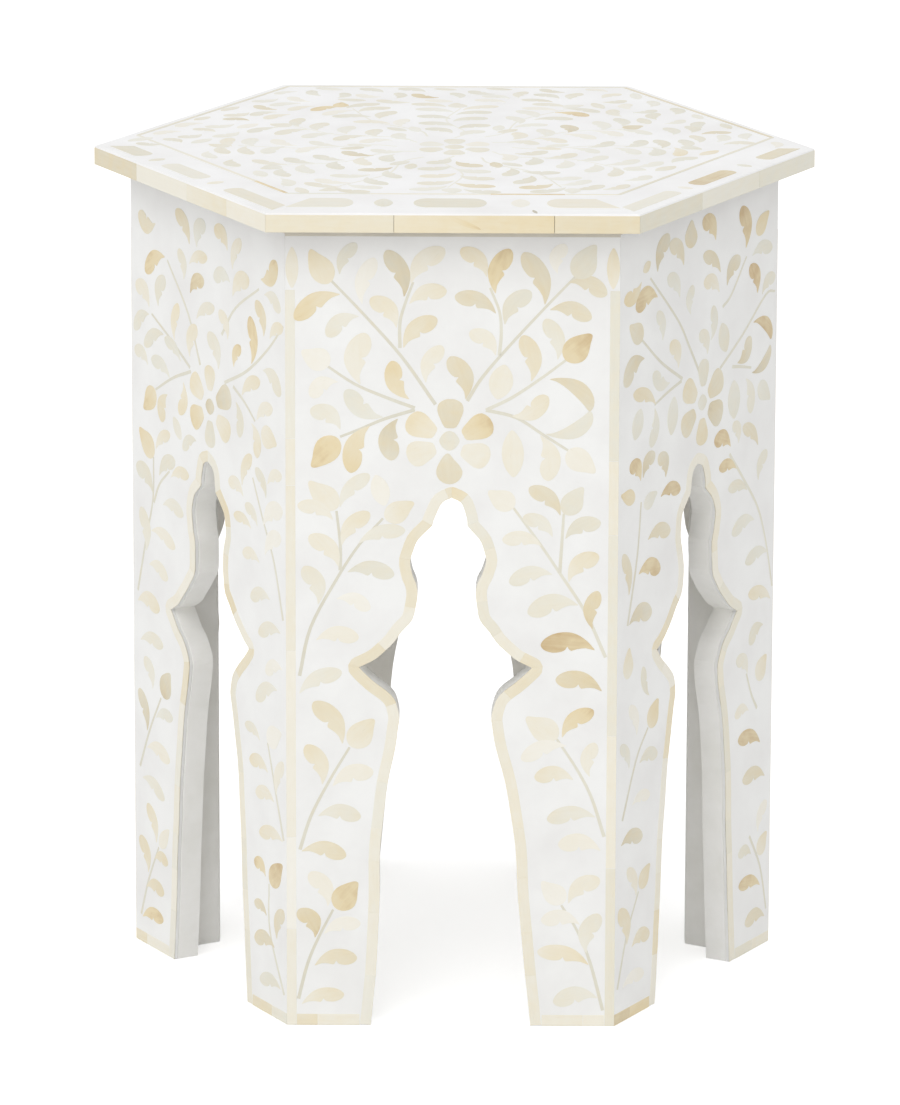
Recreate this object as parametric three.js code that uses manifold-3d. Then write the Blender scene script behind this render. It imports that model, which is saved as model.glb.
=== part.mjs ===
// Hexagonal stool with six arched side panels under an overhanging top.
// Every panel is a mitred board with a thin layer of white resin and cut bone on its face.
// Millimetres, +Z up, origin on the floor under the middle of the stool, front panel facing -Y.
import * as THREE from 'three';
import { mergeVertices } from 'three/addons/utils/BufferGeometryUtils.js';
import Module from 'manifold-3d';

const wasm = await Module();
wasm.setup();

// Driving dimensions
const stoolHeight = 457;
const sideWidth = 178.5; // one panel's face from corner to corner
const boardThickness = 12.7;
const layerThickness = 2; // resin and bone on the wood
const seatGap = 0.3; // glue line between two pieces

// Top
const topThickness = 10.5;
const topOverhang = 17; // from a panel's face to the top's edge

// Arch in each panel
const archHeight = 297.5;
const archFootHalf = 43.5; // half the opening at the floor
const liningWidth = 6; // bone band along the arch

// Bone strips on the panels
const cornerStripWidth = 5.2;
const cornerStripDrop = 34.5; // from the strip's end up to the top
const footStripHeight = 6.3;

// Bone leaves, stems and bars set in the resin and ground almost level with it
const inlayRise = 0.6;
const inlayRoot = 1; // how deep they sit in the resin
const leafWidth = 10.5;
const budWidth = 13;
const stemWidth = 2.4;
const petalLength = 14;
const petalWidth = 12.5;
const rosetteGap = 3; // from the arch lining up to the lowest petal
const rosetteRadius = 8.5; // to the petals' inner ends
const barWidth = 19;
const barInset = 20; // from the top's edge to the middle of its row of bars
const dotLength = 17;
const dotWidth = 10;

// Corner blocks and the screws that hold the top
const blockSide = 30;
const blockHeight = 24;
const screwLength = 29.5;
const screwRadius = 1.9;
const screwHeadRadius = 3.8;
const screwHeadHeight = 3;
const screwTipLength = 3;
const screwSteps = 12; // flats around the screw
const screwInset = 9.5; // from the block's corner edge to the screw's axis

// Sides of the hexagon, counter-clockwise from the front
const sideNames = ['front', 'front_right', 'back_right', 'back', 'back_left', 'front_left'];
const sideAngle = Math.PI * 2 / sideNames.length;
const mitreAngle = sideAngle / 2;

const panelHeight = stoolHeight - topThickness - seatGap;
const panelApothem = sideWidth / 2 / Math.tan(mitreAngle);
const boardFace = panelApothem - layerThickness - seatGap;
const boardBack = boardFace - boardThickness;
const topApothem = panelApothem + topOverhang;
const topCoreApothem = topApothem - layerThickness - seatGap;
const clearHalf = sideWidth / 2 - cornerStripWidth - seatGap; // half a face between corner strips
const liningTop = archHeight + liningWidth;
const rosetteHeight = liningTop + rosetteGap + petalLength + rosetteRadius;

// The arch's edge from the floor to its point, as shares of archFootHalf and archHeight.
// Three stretches meet in a notch above the leg and in a soft corner under the point.
const legShares = [
  [1, 0], [0.915, 0.14], [0.868, 0.25], [0.83, 0.345], [0.76, 0.437], [0.665, 0.51],
  [0.585, 0.562], [0.568, 0.59], [0.612, 0.615], [0.735, 0.638], [0.9, 0.657], [1.06, 0.682],
];
const lobeShares = [
  [1.06, 0.682], [0.86, 0.699], [0.69, 0.722], [0.54, 0.748], [0.415, 0.772], [0.372, 0.805],
  [0.382, 0.84], [0.435, 0.86], [0.46, 0.884], [0.428, 0.91], [0.335, 0.93], [0.205, 0.948],
];
const pointShares = [[0.205, 0.948], [0.178, 0.972], [0.11, 0.992], [0, 1]];
const stretchSteps = { leg: 11, lobe: 11, point: 3 };

// Outlines of a leaf, a bud, a petal and a dot, as shares of their length and width
const leafShares = [[0, 0], [0.45, -0.08], [0.85, -0.24], [1, 0.12], [0.68, 0.7], [0.28, 0.6]];
const budShares = [[0, 0], [0.35, -0.5], [0.8, -0.25], [1, 0.1], [0.45, 0.5]];
const petalShares = [[0, -0.2], [0.6, -0.5], [1, 0], [0.6, 0.5], [0, 0.2]];
const dotShares = [[0, 0], [0.25, -0.45], [0.75, -0.45], [1, 0], [0.75, 0.45], [0.25, 0.45]];

// Leaves on the right half of a panel, from base to tip. Across is a share of the way from the arch's
// lining, or the panel's middle line over it, to the corner strip. Up is a share of the lining's
// height, and from 1 to 2 of the wood over it. The side on which a leaf bulges is 1 for its left and
// -1 for its right.
const panelLeafShares = [
  { base: [0.746, 1.756], tip: [0.985, 1.703], bulge: 1 },
  { base: [0.576, 1.725], tip: [0.453, 1.9], bulge: -1 },
  { base: [0.266, 1.675], tip: [0.032, 1.74], bulge: -1 },
  { base: [0.65, 1.656], tip: [0.896, 1.62], bulge: 1 },
  { base: [0.66, 1.4], tip: [0.917, 1.318], bulge: 1 },
  { base: [0.32, 1.381], tip: [0.458, 1.5], bulge: 1 },
  { base: [0.543, 1.193], tip: [0.629, 1.03], bulge: 1 },
  { base: [0.62, 0.958], tip: [0.51, 1.03], bulge: -1 },
  { base: [0.275, 0.873], tip: [0.06, 0.926], bulge: -1 },
  { base: [0.746, 0.72], tip: [0.232, 0.72], bulge: -1 },
  { base: [0.573, 0.45], tip: [0.112, 0.468], bulge: -1 },
  { base: [0.754, 0.385], tip: [0.235, 0.382], bulge: -1 },
  { base: [0.667, 0.115], tip: [0.1, 0.13], bulge: -1 },
];
const panelBudShares = [
  { base: [0.794, 1.828], tip: [0.917, 1.938] },
  { base: [0.746, 1.515], tip: [0.937, 1.568] },
  { base: [0.746, 1.143], tip: [0.917, 1.053] },
  { base: [0.71, 0.963], tip: [0.917, 1.03] },
  { base: [0.43, 0.544], tip: [0.177, 0.588] },
  { base: [0.373, 0.24], tip: [0.12, 0.287] },
];
const panelStemShares = [
  [[0.106, 1.352], [0.405, 1.578], [0.762, 1.79]],
  [[0.266, 1.306], [0.703, 1.493]],
  [[0.266, 1.287], [0.709, 1.168]],
  [[0.947, 0.669], [0.592, 0.838], [0.304, 0.941]],
  [[0.918, 0.353], [0.466, 0.522]],
  [[0.928, 0.051], [0.436, 0.217]],
];

// Bars and dots along one edge of the top, across it, as shares of half the row's length
const barShares = [[-1, -0.62], [-0.22, 0.22], [0.62, 1]];
const dotPlaceShares = [-0.42, 0.42];

const finishes = {
  resin: { color: 0xf1f0ec, roughness: 0.35, metalness: 0 },
  bone: { color: 0xe4dac2, roughness: 0.45, metalness: 0 },
  paintedWood: { color: 0xb6afa4, roughness: 0.75, metalness: 0 },
  bareWood: { color: 0xb08f66, roughness: 0.8, metalness: 0 },
  steel: { color: 0x9a9a98, roughness: 0.4, metalness: 0.9 },
};

// Closed three.js geometry to a solid for joining and cutting, and back
function toSolid(geometry) {
  const bare = geometry.clone();
  bare.deleteAttribute('normal');
  bare.deleteAttribute('uv');
  const merged = mergeVertices(bare);
  const vertProperties = new Float32Array(merged.attributes.position.array);
  const triVerts = new Uint32Array(merged.index.array);
  return new wasm.Manifold(new wasm.Mesh({ numProp: 3, vertProperties, triVerts }));
}

function toGeometry(solid) {
  const mesh = solid.getMesh();
  const geometry = new THREE.BufferGeometry();
  geometry.setAttribute('position', new THREE.BufferAttribute(new Float32Array(mesh.vertProperties), 3));
  geometry.setIndex(new THREE.BufferAttribute(new Uint32Array(mesh.triVerts), 1));
  const faceted = geometry.toNonIndexed();
  faceted.computeVertexNormals();
  return faceted;
}

function namedMesh(name, geometry, finish) {
  const mesh = new THREE.Mesh(geometry, new THREE.MeshStandardMaterial(finish));
  mesh.name = name;
  return mesh;
}

// Plate that stands upright: its outline is drawn across and up, its face is at y = -face
function uprightPlate(points, face, thickness) {
  const shape = new THREE.Shape(points);
  const geometry = new THREE.ExtrudeGeometry(shape, { depth: thickness, bevelEnabled: false });
  geometry.rotateX(Math.PI / 2);
  geometry.translate(0, thickness - face, 0);
  return geometry;
}

// Plate that lies flat with its underside at z = bottom
function flatPlate(points, bottom, thickness) {
  const shape = new THREE.Shape(points);
  const geometry = new THREE.ExtrudeGeometry(shape, { depth: thickness, bevelEnabled: false });
  geometry.translate(0, 0, bottom);
  return geometry;
}

function hexagon(apothem) {
  const radius = apothem / Math.cos(mitreAngle);
  return sideNames.map((name, index) => new THREE.Vector2(
    radius * Math.cos(index * sideAngle), radius * Math.sin(index * sideAngle)));
}

// Wedge of the stool that belongs to one side, with half a glue line off each mitre
const sideWedge = (() => {
  const apex = seatGap / 2 / Math.sin(mitreAngle);
  const reach = topApothem * 2;
  const half = (reach - apex) * Math.tan(mitreAngle);
  const plan = [new THREE.Vector2(0, -apex), new THREE.Vector2(-half, -reach), new THREE.Vector2(half, -reach)];
  return toSolid(flatPlate(plan, -stoolHeight, stoolHeight * 3));
})();

function mitred(geometry) {
  return toGeometry(toSolid(geometry).intersect(sideWedge));
}

// Arch edge
function stretchPoints(shares, steps) {
  const knots = shares.map(([across, up]) => new THREE.Vector2(across * archFootHalf, up * archHeight));
  return new THREE.SplineCurve(knots).getPoints(steps);
}

const archStretches = [
  stretchPoints(legShares, stretchSteps.leg),
  stretchPoints(lobeShares, stretchSteps.lobe),
  stretchPoints(pointShares, stretchSteps.point),
];

// The stretch moved sideways into the wood
function offsetStretch(points, distance) {
  return points.map((point, index) => {
    const before = points[Math.max(index - 1, 0)];
    const after = points[Math.min(index + 1, points.length - 1)];
    const along = after.clone().sub(before).normalize();
    return new THREE.Vector2(point.x + along.y * distance, point.y - along.x * distance);
  });
}

// Where the lines a-b and c-d cross, as shares of each
function crossing(a, b, c, d) {
  const first = b.clone().sub(a);
  const second = d.clone().sub(c);
  const between = c.clone().sub(a);
  const turn = first.cross(second);
  return [between.cross(second) / turn, between.cross(first) / turn];
}

// Two offset stretches joined where they cross, or else where their ends would meet
function joinStretches(left, right) {
  for (let i = left.length - 2; i >= 0; i -= 1) {
    for (let j = 0; j < right.length - 1; j += 1) {
      const [s, t] = crossing(left[i], left[i + 1], right[j], right[j + 1]);
      if (s >= 0 && s <= 1 && t >= 0 && t <= 1) {
        const corner = left[i].clone().lerp(left[i + 1], s);
        return [...left.slice(0, i + 1), corner, ...right.slice(j + 1)];
      }
    }
  }
  const [s] = crossing(left.at(-2), left.at(-1), right[0], right[1]);
  return [...left, left.at(-2).clone().lerp(left.at(-1), s), ...right];
}

// Right half of the arch edge, moved into the wood by distance and cut off at z = floor
function archHalf(distance, floor) {
  const stretches = archStretches.map((points) => offsetStretch(points, distance));
  const edge = stretches.reduce((joined, next) => joinStretches(joined, next));
  edge[edge.length - 1] = new THREE.Vector2(0, archHeight + distance);
  const first = edge.findIndex((point) => point.y > floor);
  const below = edge[Math.max(first - 1, 0)];
  const above = edge[first === 0 ? 1 : first];
  const share = (floor - below.y) / (above.y - below.y);
  return [below.clone().lerp(above, share), ...edge.slice(first === 0 ? 1 : first)];
}

// Whole arch edge, from its left foot over the point to its right foot
function archEdge(distance, floor) {
  const right = archHalf(distance, floor);
  const left = right.slice(0, -1).map((point) => new THREE.Vector2(-point.x, point.y));
  return [...left, ...right.reverse()];
}

// Panel outline with the arch open at its foot. From z = shoulder up it is as wide as the side.
function archedOutline(half, bottom, distance, shoulder) {
  const rightEdge = [
    new THREE.Vector2(half, bottom), new THREE.Vector2(half, shoulder),
    new THREE.Vector2(sideWidth / 2, shoulder), new THREE.Vector2(sideWidth / 2, panelHeight),
  ];
  const leftEdge = rightEdge.map((point) => new THREE.Vector2(-point.x, point.y)).reverse();
  const corners = half < sideWidth / 2 ? [...rightEdge, ...leftEdge] : [
    rightEdge[0], rightEdge[3], leftEdge[0], leftEdge[3],
  ];
  return [...archEdge(distance, bottom), ...corners];
}

function liningOutline() {
  return [...archEdge(0, 0), ...archEdge(liningWidth, 0).reverse()];
}

// Bone along one vertical edge of a panel; hand is -1 on the left and 1 on the right
function cornerStripOutline(hand) {
  const outer = hand * sideWidth / 2;
  const inner = outer - hand * cornerStripWidth;
  const top = panelHeight - cornerStripDrop;
  return [
    new THREE.Vector2(inner, 0), new THREE.Vector2(outer, 0),
    new THREE.Vector2(outer, top), new THREE.Vector2(inner, top),
  ];
}

// Bone along the foot of one leg, between the arch lining and the panel's edge or strip
function footStripOutline(hand, half) {
  const edge = archHalf(liningWidth + seatGap, 0);
  const rise = edge.filter((point) => point.y < footStripHeight);
  const top = archHalf(liningWidth + seatGap, footStripHeight)[0];
  return [
    ...rise.map((point) => new THREE.Vector2(hand * point.x, point.y)),
    new THREE.Vector2(hand * top.x, top.y),
    new THREE.Vector2(hand * half, footStripHeight),
    new THREE.Vector2(hand * half, 0),
  ];
}

function topEdgeOutline() {
  const half = topApothem * Math.tan(mitreAngle);
  const bottom = stoolHeight - topThickness;
  return [
    new THREE.Vector2(-half, bottom), new THREE.Vector2(half, bottom),
    new THREE.Vector2(half, stoolHeight), new THREE.Vector2(-half, stoolHeight),
  ];
}

// Outline of a small piece laid from base to tip
function laidOutline(shares, base, tip, width) {
  const along = tip.clone().sub(base);
  const across = new THREE.Vector2(-along.y, along.x).normalize().multiplyScalar(width);
  return shares.map(([reach, aside]) => base.clone()
    .addScaledVector(along, reach)
    .addScaledVector(across, aside));
}

function stemOutline(knots) {
  const edge = offsetStretch(knots, stemWidth / 2);
  return [...edge, ...offsetStretch(knots, -stemWidth / 2).reverse()];
}

// How far the arch's lining and its glue line reach from the panel's middle line at one height
function liningReach(height) {
  const edge = archHalf(liningWidth + seatGap, 0);
  const crossings = edge.slice(1).flatMap((after, index) => {
    const before = edge[index];
    if (before.y > height === after.y > height) {
      return [];
    }
    return before.x + (after.x - before.x) * (height - before.y) / (after.y - before.y);
  });
  return Math.max(0, ...crossings);
}

function panelPlace(hand, [across, up]) {
  const height = up < 1 ? up * liningTop : liningTop + (up - 1) * (panelHeight - liningTop);
  const reach = liningReach(height);
  return new THREE.Vector2(hand * (reach + across * (clearHalf - reach)), height);
}

// Outlines of every leaf, bud and stem on one panel; the left half mirrors the right
function panelInlay() {
  const outlines = [];
  for (const hand of [-1, 1]) {
    const place = (shares) => panelPlace(hand, shares);
    for (const { base, tip, bulge } of panelLeafShares) {
      outlines.push(laidOutline(leafShares, place(base), place(tip), hand * bulge * leafWidth));
    }
    for (const { base, tip } of panelBudShares) {
      outlines.push(laidOutline(budShares, place(base), place(tip), hand * budWidth));
    }
    for (const stem of panelStemShares) {
      outlines.push(stemOutline(stem.map(place)));
    }
  }
  for (let petal = 0; petal < sideNames.length; petal += 1) {
    const outwards = new THREE.Vector2(0, 1).rotateAround(new THREE.Vector2(), petal * sideAngle);
    const middle = new THREE.Vector2(0, rosetteHeight);
    const base = middle.clone().addScaledVector(outwards, rosetteRadius);
    const tip = base.clone().addScaledVector(outwards, petalLength);
    outlines.push(laidOutline(petalShares, base, tip, petalWidth));
  }
  return outlines;
}

// Outlines of the bars and dots along the front edge of the top, seen from above
function topInlay() {
  const row = topApothem - barInset;
  const halfRow = (row - barWidth / 2) * Math.tan(mitreAngle) - seatGap * 2;
  const outer = -row - barWidth / 2;
  const inner = -row + barWidth / 2;
  const bars = barShares.map(([start, end]) => [
    new THREE.Vector2(start * halfRow, outer), new THREE.Vector2(end * halfRow, outer),
    new THREE.Vector2(end * halfRow, inner), new THREE.Vector2(start * halfRow, inner),
  ]);
  const dots = dotPlaceShares.map((share) => laidOutline(dotShares,
    new THREE.Vector2(share * halfRow, -row + dotLength / 2),
    new THREE.Vector2(share * halfRow, -row - dotLength / 2), dotWidth));
  return [...bars, ...dots];
}

// A plate with the small pieces fused to its face
function joinInlay(plate, pieces) {
  return pieces.reduce((joined, piece) => joined.add(toSolid(piece)), plate);
}

// One side of the stool, built facing -Y and then turned into place
function buildSide(index) {
  const name = sideNames[index];
  const hasCornerStrips = index % 2 === 0;
  const faceHalf = hasCornerStrips ? clearHalf : sideWidth / 2;
  const skinBottom = footStripHeight + seatGap;
  const side = new THREE.Group();
  side.rotation.z = index * sideAngle;

  const board = uprightPlate(archedOutline(sideWidth / 2, 0, 0, 0), boardFace, boardThickness);
  side.add(namedMesh(`${name}_panel_board`, mitred(board), finishes.paintedWood));

  const shoulder = panelHeight - cornerStripDrop + seatGap;
  const skin = archedOutline(faceHalf, skinBottom, liningWidth + seatGap, shoulder);
  const face = toSolid(uprightPlate(skin, panelApothem, layerThickness)).intersect(sideWedge);
  const inlay = panelInlay().map((outline) => (
    uprightPlate(outline, panelApothem + inlayRise, inlayRise + inlayRoot)));
  side.add(namedMesh(`${name}_resin_face`, toGeometry(joinInlay(face, inlay)), finishes.resin));
  side.add(namedMesh(`${name}_arch_lining`, uprightPlate(liningOutline(), panelApothem, layerThickness),
    finishes.bone));

  for (const [hand, handName] of [[-1, 'left'], [1, 'right']]) {
    const foot = uprightPlate(footStripOutline(hand, faceHalf), panelApothem, layerThickness);
    side.add(namedMesh(`${name}_foot_strip_${handName}`, mitred(foot), finishes.bone));
    if (hasCornerStrips) {
      const strip = uprightPlate(cornerStripOutline(hand), panelApothem, layerThickness);
      side.add(namedMesh(`${name}_corner_strip_${handName}`, mitred(strip), finishes.bone));
    }
  }

  const topEdge = uprightPlate(topEdgeOutline(), topApothem, layerThickness);
  side.add(namedMesh(`${name}_top_edge`, mitred(topEdge), finishes.bone));
  return side;
}

// Countersunk wood screw pointing up, its head's face at z = 0, made larger by grow
function screwGeometry(grow) {
  const profile = [
    new THREE.Vector2(0, -grow),
    new THREE.Vector2(screwHeadRadius + grow, -grow),
    new THREE.Vector2(screwRadius + grow, screwHeadHeight),
    new THREE.Vector2(screwRadius + grow, screwLength - screwTipLength),
    new THREE.Vector2(0, screwLength + grow),
  ];
  return new THREE.LatheGeometry(profile, screwSteps).rotateX(Math.PI / 2);
}

// Screws and blocks sit in the inner corners, where the frame is turned so that -Y is the corner
const blockVertex = (boardBack - seatGap) / Math.cos(mitreAngle);
const blockTop = panelHeight;
const screwRadiusPlace = blockVertex - screwInset;
const screwHead = blockTop - blockHeight;

function cornerTurn(index) {
  return index * sideAngle + mitreAngle;
}

function placedScrew(grow) {
  return screwGeometry(grow).translate(0, -screwRadiusPlace, screwHead);
}

function buildCorner(index) {
  const label = `${sideNames[index]}_to_${sideNames[(index + 1) % sideNames.length]}`;
  const corner = new THREE.Group();
  corner.rotation.z = cornerTurn(index);
  const across = blockSide * Math.sin(sideAngle);
  const back = blockSide * Math.cos(sideAngle);
  const plan = [
    new THREE.Vector2(0, -blockVertex),
    new THREE.Vector2(across, back - blockVertex),
    new THREE.Vector2(-across, back - blockVertex),
  ];
  const block = toSolid(flatPlate(plan, blockTop - blockHeight, blockHeight));
  const drilled = block.subtract(toSolid(placedScrew(seatGap)));
  corner.add(namedMesh(`${label}_corner_block`, toGeometry(drilled), finishes.bareWood));
  corner.add(namedMesh(`${label}_top_screw`, placedScrew(0), finishes.steel));
  return corner;
}

function buildTop() {
  const top = new THREE.Group();
  const coreBottom = stoolHeight - topThickness;
  const coreThickness = topThickness - layerThickness - seatGap;
  let core = toSolid(flatPlate(hexagon(topCoreApothem), coreBottom, coreThickness));
  for (let index = 0; index < sideNames.length; index += 1) {
    core = core.subtract(toSolid(placedScrew(seatGap).rotateZ(cornerTurn(index))));
  }
  top.add(namedMesh('top_board', toGeometry(core), finishes.paintedWood));
  let face = toSolid(flatPlate(hexagon(topCoreApothem), stoolHeight - layerThickness, layerThickness));
  for (let index = 0; index < sideNames.length; index += 1) {
    face = joinInlay(face, topInlay().map((outline) => (
      flatPlate(outline, stoolHeight - inlayRoot, inlayRoot + inlayRise).rotateZ(index * sideAngle))));
  }
  top.add(namedMesh('top_inlay_face', toGeometry(face), finishes.resin));
  return top;
}

const stool = new THREE.Group();
stool.add(buildTop());
for (let index = 0; index < sideNames.length; index += 1) {
  stool.add(buildSide(index));
  stool.add(buildCorner(index));
}

export default stool;
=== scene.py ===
import math
import random

import bmesh
import bpy
from mathutils import Matrix, Vector


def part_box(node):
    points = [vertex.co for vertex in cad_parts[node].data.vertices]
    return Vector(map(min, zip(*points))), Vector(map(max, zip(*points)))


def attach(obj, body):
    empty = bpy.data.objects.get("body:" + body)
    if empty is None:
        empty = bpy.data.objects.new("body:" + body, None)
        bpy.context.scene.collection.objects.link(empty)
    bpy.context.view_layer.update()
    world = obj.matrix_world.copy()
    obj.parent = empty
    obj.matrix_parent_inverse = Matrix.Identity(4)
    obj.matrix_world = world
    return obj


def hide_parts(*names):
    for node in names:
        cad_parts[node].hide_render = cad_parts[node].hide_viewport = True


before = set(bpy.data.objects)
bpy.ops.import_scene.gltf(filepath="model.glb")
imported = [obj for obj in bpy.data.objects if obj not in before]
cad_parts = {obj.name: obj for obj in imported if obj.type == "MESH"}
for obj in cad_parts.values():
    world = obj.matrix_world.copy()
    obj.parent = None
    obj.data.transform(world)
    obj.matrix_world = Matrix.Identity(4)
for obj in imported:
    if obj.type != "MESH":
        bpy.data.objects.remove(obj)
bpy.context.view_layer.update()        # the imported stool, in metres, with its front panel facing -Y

mm = 0.001
sideNames = ["front", "front_right", "back_right", "back", "back_left", "front_left"]
sideTurn = math.radians(360 / len(sideNames))
mitre = sideTurn / 2
overrun = 1 * mm    # a strip runs this far past a mitre before it is brought in
rng = random.Random(7)

# Sizes read from the frame
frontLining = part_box("front_arch_lining")
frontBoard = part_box("front_panel_board")
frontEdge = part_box("front_top_edge")
stool = {
    "face": -frontLining[0].y,                     # middle of the stool to a panel's face
    "layer": frontLining[1].y - frontLining[0].y,  # resin and bone on the wood
    "boardFace": -frontBoard[0].y,
    "boardBack": -frontBoard[1].y,
    "panelTop": frontBoard[1].z,
    "topFace": -frontEdge[0].y,                    # middle of the stool to the top's edge
    "topUnder": frontEdge[0].z,
    "topHeight": frontEdge[1].z,
    "mitreGap": 0.05 * mm,
}
print("frame read:", len(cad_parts), "nodes")


# Node helpers

def linear(red, green, blue):
    # a colour given on the screen's 0 to 255 scale
    parts = [c / 255 for c in (red, green, blue)]
    return tuple(c / 12.92 if c <= 0.04045 else ((c + 0.055) / 1.055) ** 2.4 for c in parts) + (1.0,)


def addNode(tree, kind, **values):
    node = tree.nodes.new(kind)
    for key, value in values.items():
        if hasattr(node, key):
            setattr(node, key, value)
        else:
            node.inputs[key.replace("_", " ")].default_value = value
    return node


def addRamp(tree, source, stops):
    # colours picked on the screen's scale, by their places from 0 to 1
    node = tree.nodes.new("ShaderNodeValToRGB")
    ramp = node.color_ramp
    while len(ramp.elements) < len(stops):
        ramp.elements.new(0.5)
    for element, (place, colour) in zip(ramp.elements, stops):
        element.position = place
        element.color = linear(*colour)
    tree.links.new(source, node.inputs["Fac"])
    return node.outputs["Color"]


def addRoughness(tree, shader, source, low, high):
    rough = addNode(tree, "ShaderNodeMapRange", To_Min=low, To_Max=high)
    tree.links.new(source, rough.inputs["Value"])
    tree.links.new(rough.outputs["Result"], shader.inputs["Roughness"])


def addBump(tree, shader, height, strength, distance):
    bump = addNode(tree, "ShaderNodeBump", Strength=strength, Distance=distance)
    tree.links.new(height, bump.inputs["Height"])
    tree.links.new(bump.outputs["Normal"], shader.inputs["Normal"])


def mixColour(tree, first, second, factor):
    # a mix node's colours are its inputs 6 and 7, and its output 2
    node = addNode(tree, "ShaderNodeMix", data_type="RGBA")
    for socket, value in ((node.inputs[6], first), (node.inputs[7], second), (node.inputs[0], factor)):
        if isinstance(value, bpy.types.NodeSocket):
            tree.links.new(value, socket)
        else:
            socket.default_value = value
    return node.outputs[2]


def newMaterial(name):
    material = bpy.data.materials.new(name)
    material.use_nodes = True
    tree = material.node_tree
    return material, tree, tree.nodes["Principled BSDF"]


# Node groups used by several materials

def startGroup(name, inputs, outputs):
    group = bpy.data.node_groups.new(name, "ShaderNodeTree")
    for socket, value in inputs.items():
        added = group.interface.new_socket(socket, in_out="INPUT", socket_type="NodeSocketFloat")
        added.default_value = value
    for socket in outputs:
        group.interface.new_socket(socket, in_out="OUTPUT", socket_type="NodeSocketFloat")
    return group, group.nodes.new("NodeGroupInput"), group.nodes.new("NodeGroupOutput")


def makeCloudGroup():
    # slow cloudy mask and fine hand-sanded height from object coordinates
    group, start, end = startGroup("sandedClouds", {"Cloud Scale": 20, "Sand Scale": 900}, ("Cloud", "Sand"))
    coords = group.nodes.new("ShaderNodeTexCoord")
    cloud = addNode(group, "ShaderNodeTexNoise", Detail=4.0, Roughness=0.55)
    sand = addNode(group, "ShaderNodeTexNoise", Detail=3.0, Roughness=0.6)
    for noise, scale, out in ((cloud, "Cloud Scale", "Cloud"), (sand, "Sand Scale", "Sand")):
        group.links.new(coords.outputs["Object"], noise.inputs["Vector"])
        group.links.new(start.outputs[scale], noise.inputs["Scale"])
        group.links.new(noise.outputs["Fac"], end.inputs[out])
    return group


def makeGrainGroup():
    # faint streaks, soft patches and pores of a cut piece, from its own grain map
    group, start, end = startGroup("boneGrain", {"Along": 60, "Across": 520, "Patches": 130},
                                   ("Streak", "Patch", "Pore"))
    grain = addNode(group, "ShaderNodeUVMap", uv_map="grain")
    stretch = group.nodes.new("ShaderNodeCombineXYZ")
    group.links.new(start.outputs["Along"], stretch.inputs["X"])
    group.links.new(start.outputs["Across"], stretch.inputs["Y"])
    scaled = addNode(group, "ShaderNodeVectorMath", operation="MULTIPLY")
    group.links.new(grain.outputs["UV"], scaled.inputs[0])
    group.links.new(stretch.outputs["Vector"], scaled.inputs[1])
    streak = addNode(group, "ShaderNodeTexNoise", Scale=1.0, Detail=3.0, Roughness=0.55)
    group.links.new(scaled.outputs["Vector"], streak.inputs["Vector"])
    group.links.new(streak.outputs["Fac"], end.inputs["Streak"])
    patch = addNode(group, "ShaderNodeTexNoise", Detail=2.0, Roughness=0.5)
    group.links.new(grain.outputs["UV"], patch.inputs["Vector"])
    group.links.new(start.outputs["Patches"], patch.inputs["Scale"])
    group.links.new(patch.outputs["Fac"], end.inputs["Patch"])
    dots = addNode(group, "ShaderNodeTexVoronoi", Scale=1.3, Randomness=1.0)
    group.links.new(scaled.outputs["Vector"], dots.inputs["Vector"])
    pore = addNode(group, "ShaderNodeMapRange", From_Min=0.0, From_Max=0.14, To_Min=1.0, To_Max=0.0)
    group.links.new(dots.outputs["Distance"], pore.inputs["Value"])
    group.links.new(pore.outputs["Result"], end.inputs["Pore"])
    return group


clouds = makeCloudGroup()
grains = makeGrainGroup()


def useGroup(tree, group, **values):
    node = tree.nodes.new("ShaderNodeGroup")
    node.node_tree = group
    for key, value in values.items():
        node.inputs[key.replace("_", " ")].default_value = value
    return node


# Finishes with slow clouds of colour under fine sanding. The resin is a little whiter on the top, a painted
# highlight: a lit copy of the panels' resin. The paint is white on the cut edges and the posts and off-white
# inside, both made paler as painted light that lifts the shade inside the stool, and taupe under the top.
resin = {"clouds": 26.0, "sand": 1400.0, "stopShares": (0.3, 0.62), "roughness": (0.32, 0.48),
         "bump": (0.12, 0.2 * mm)}
paint = {"clouds": 45.0, "sand": 700.0, "stopShares": (0.32, 0.66), "bump": (0.3, 0.3 * mm)}
finishes = {
    "whiteResin": {**resin, "dark": (235, 234, 232), "light": (242, 242, 240)},
    # the top's resin: the panels' resin made whiter, a painted highlight for the top
    "topResinPaintedLight": {**resin, "dark": (243, 242, 241), "light": (250, 250, 250)},
    # white and off-white paint, made paler still as painted light that lifts the shade inside the stool
    "edgePaintLiftedByPaintedLight": {**paint, "dark": (242, 241, 236), "light": (250, 249, 246), "roughness": (0.5, 0.7)},
    "insidePaintLiftedByPaintedLight": {**paint, "dark": (244, 241, 233), "light": (251, 249, 243), "roughness": (0.65, 0.85)},
    "underPaint": {**paint, "dark": (104, 94, 80), "light": (126, 114, 98), "roughness": (0.7, 0.9)},
    # the strip in the gap under the top: a taupe band, darker than the resin, just under the top
    "underTopStripPaint": {**paint, "dark": (214, 208, 194), "light": (226, 220, 206), "roughness": (0.7, 0.9)},
    "zincSteel": {"clouds": 700.0, "sand": 2500.0, "stopShares": (0.35, 0.65), "dark": (168, 168, 162),
                  "light": (206, 206, 200), "roughness": (0.3, 0.5), "metallic": 1.0},
}


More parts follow.
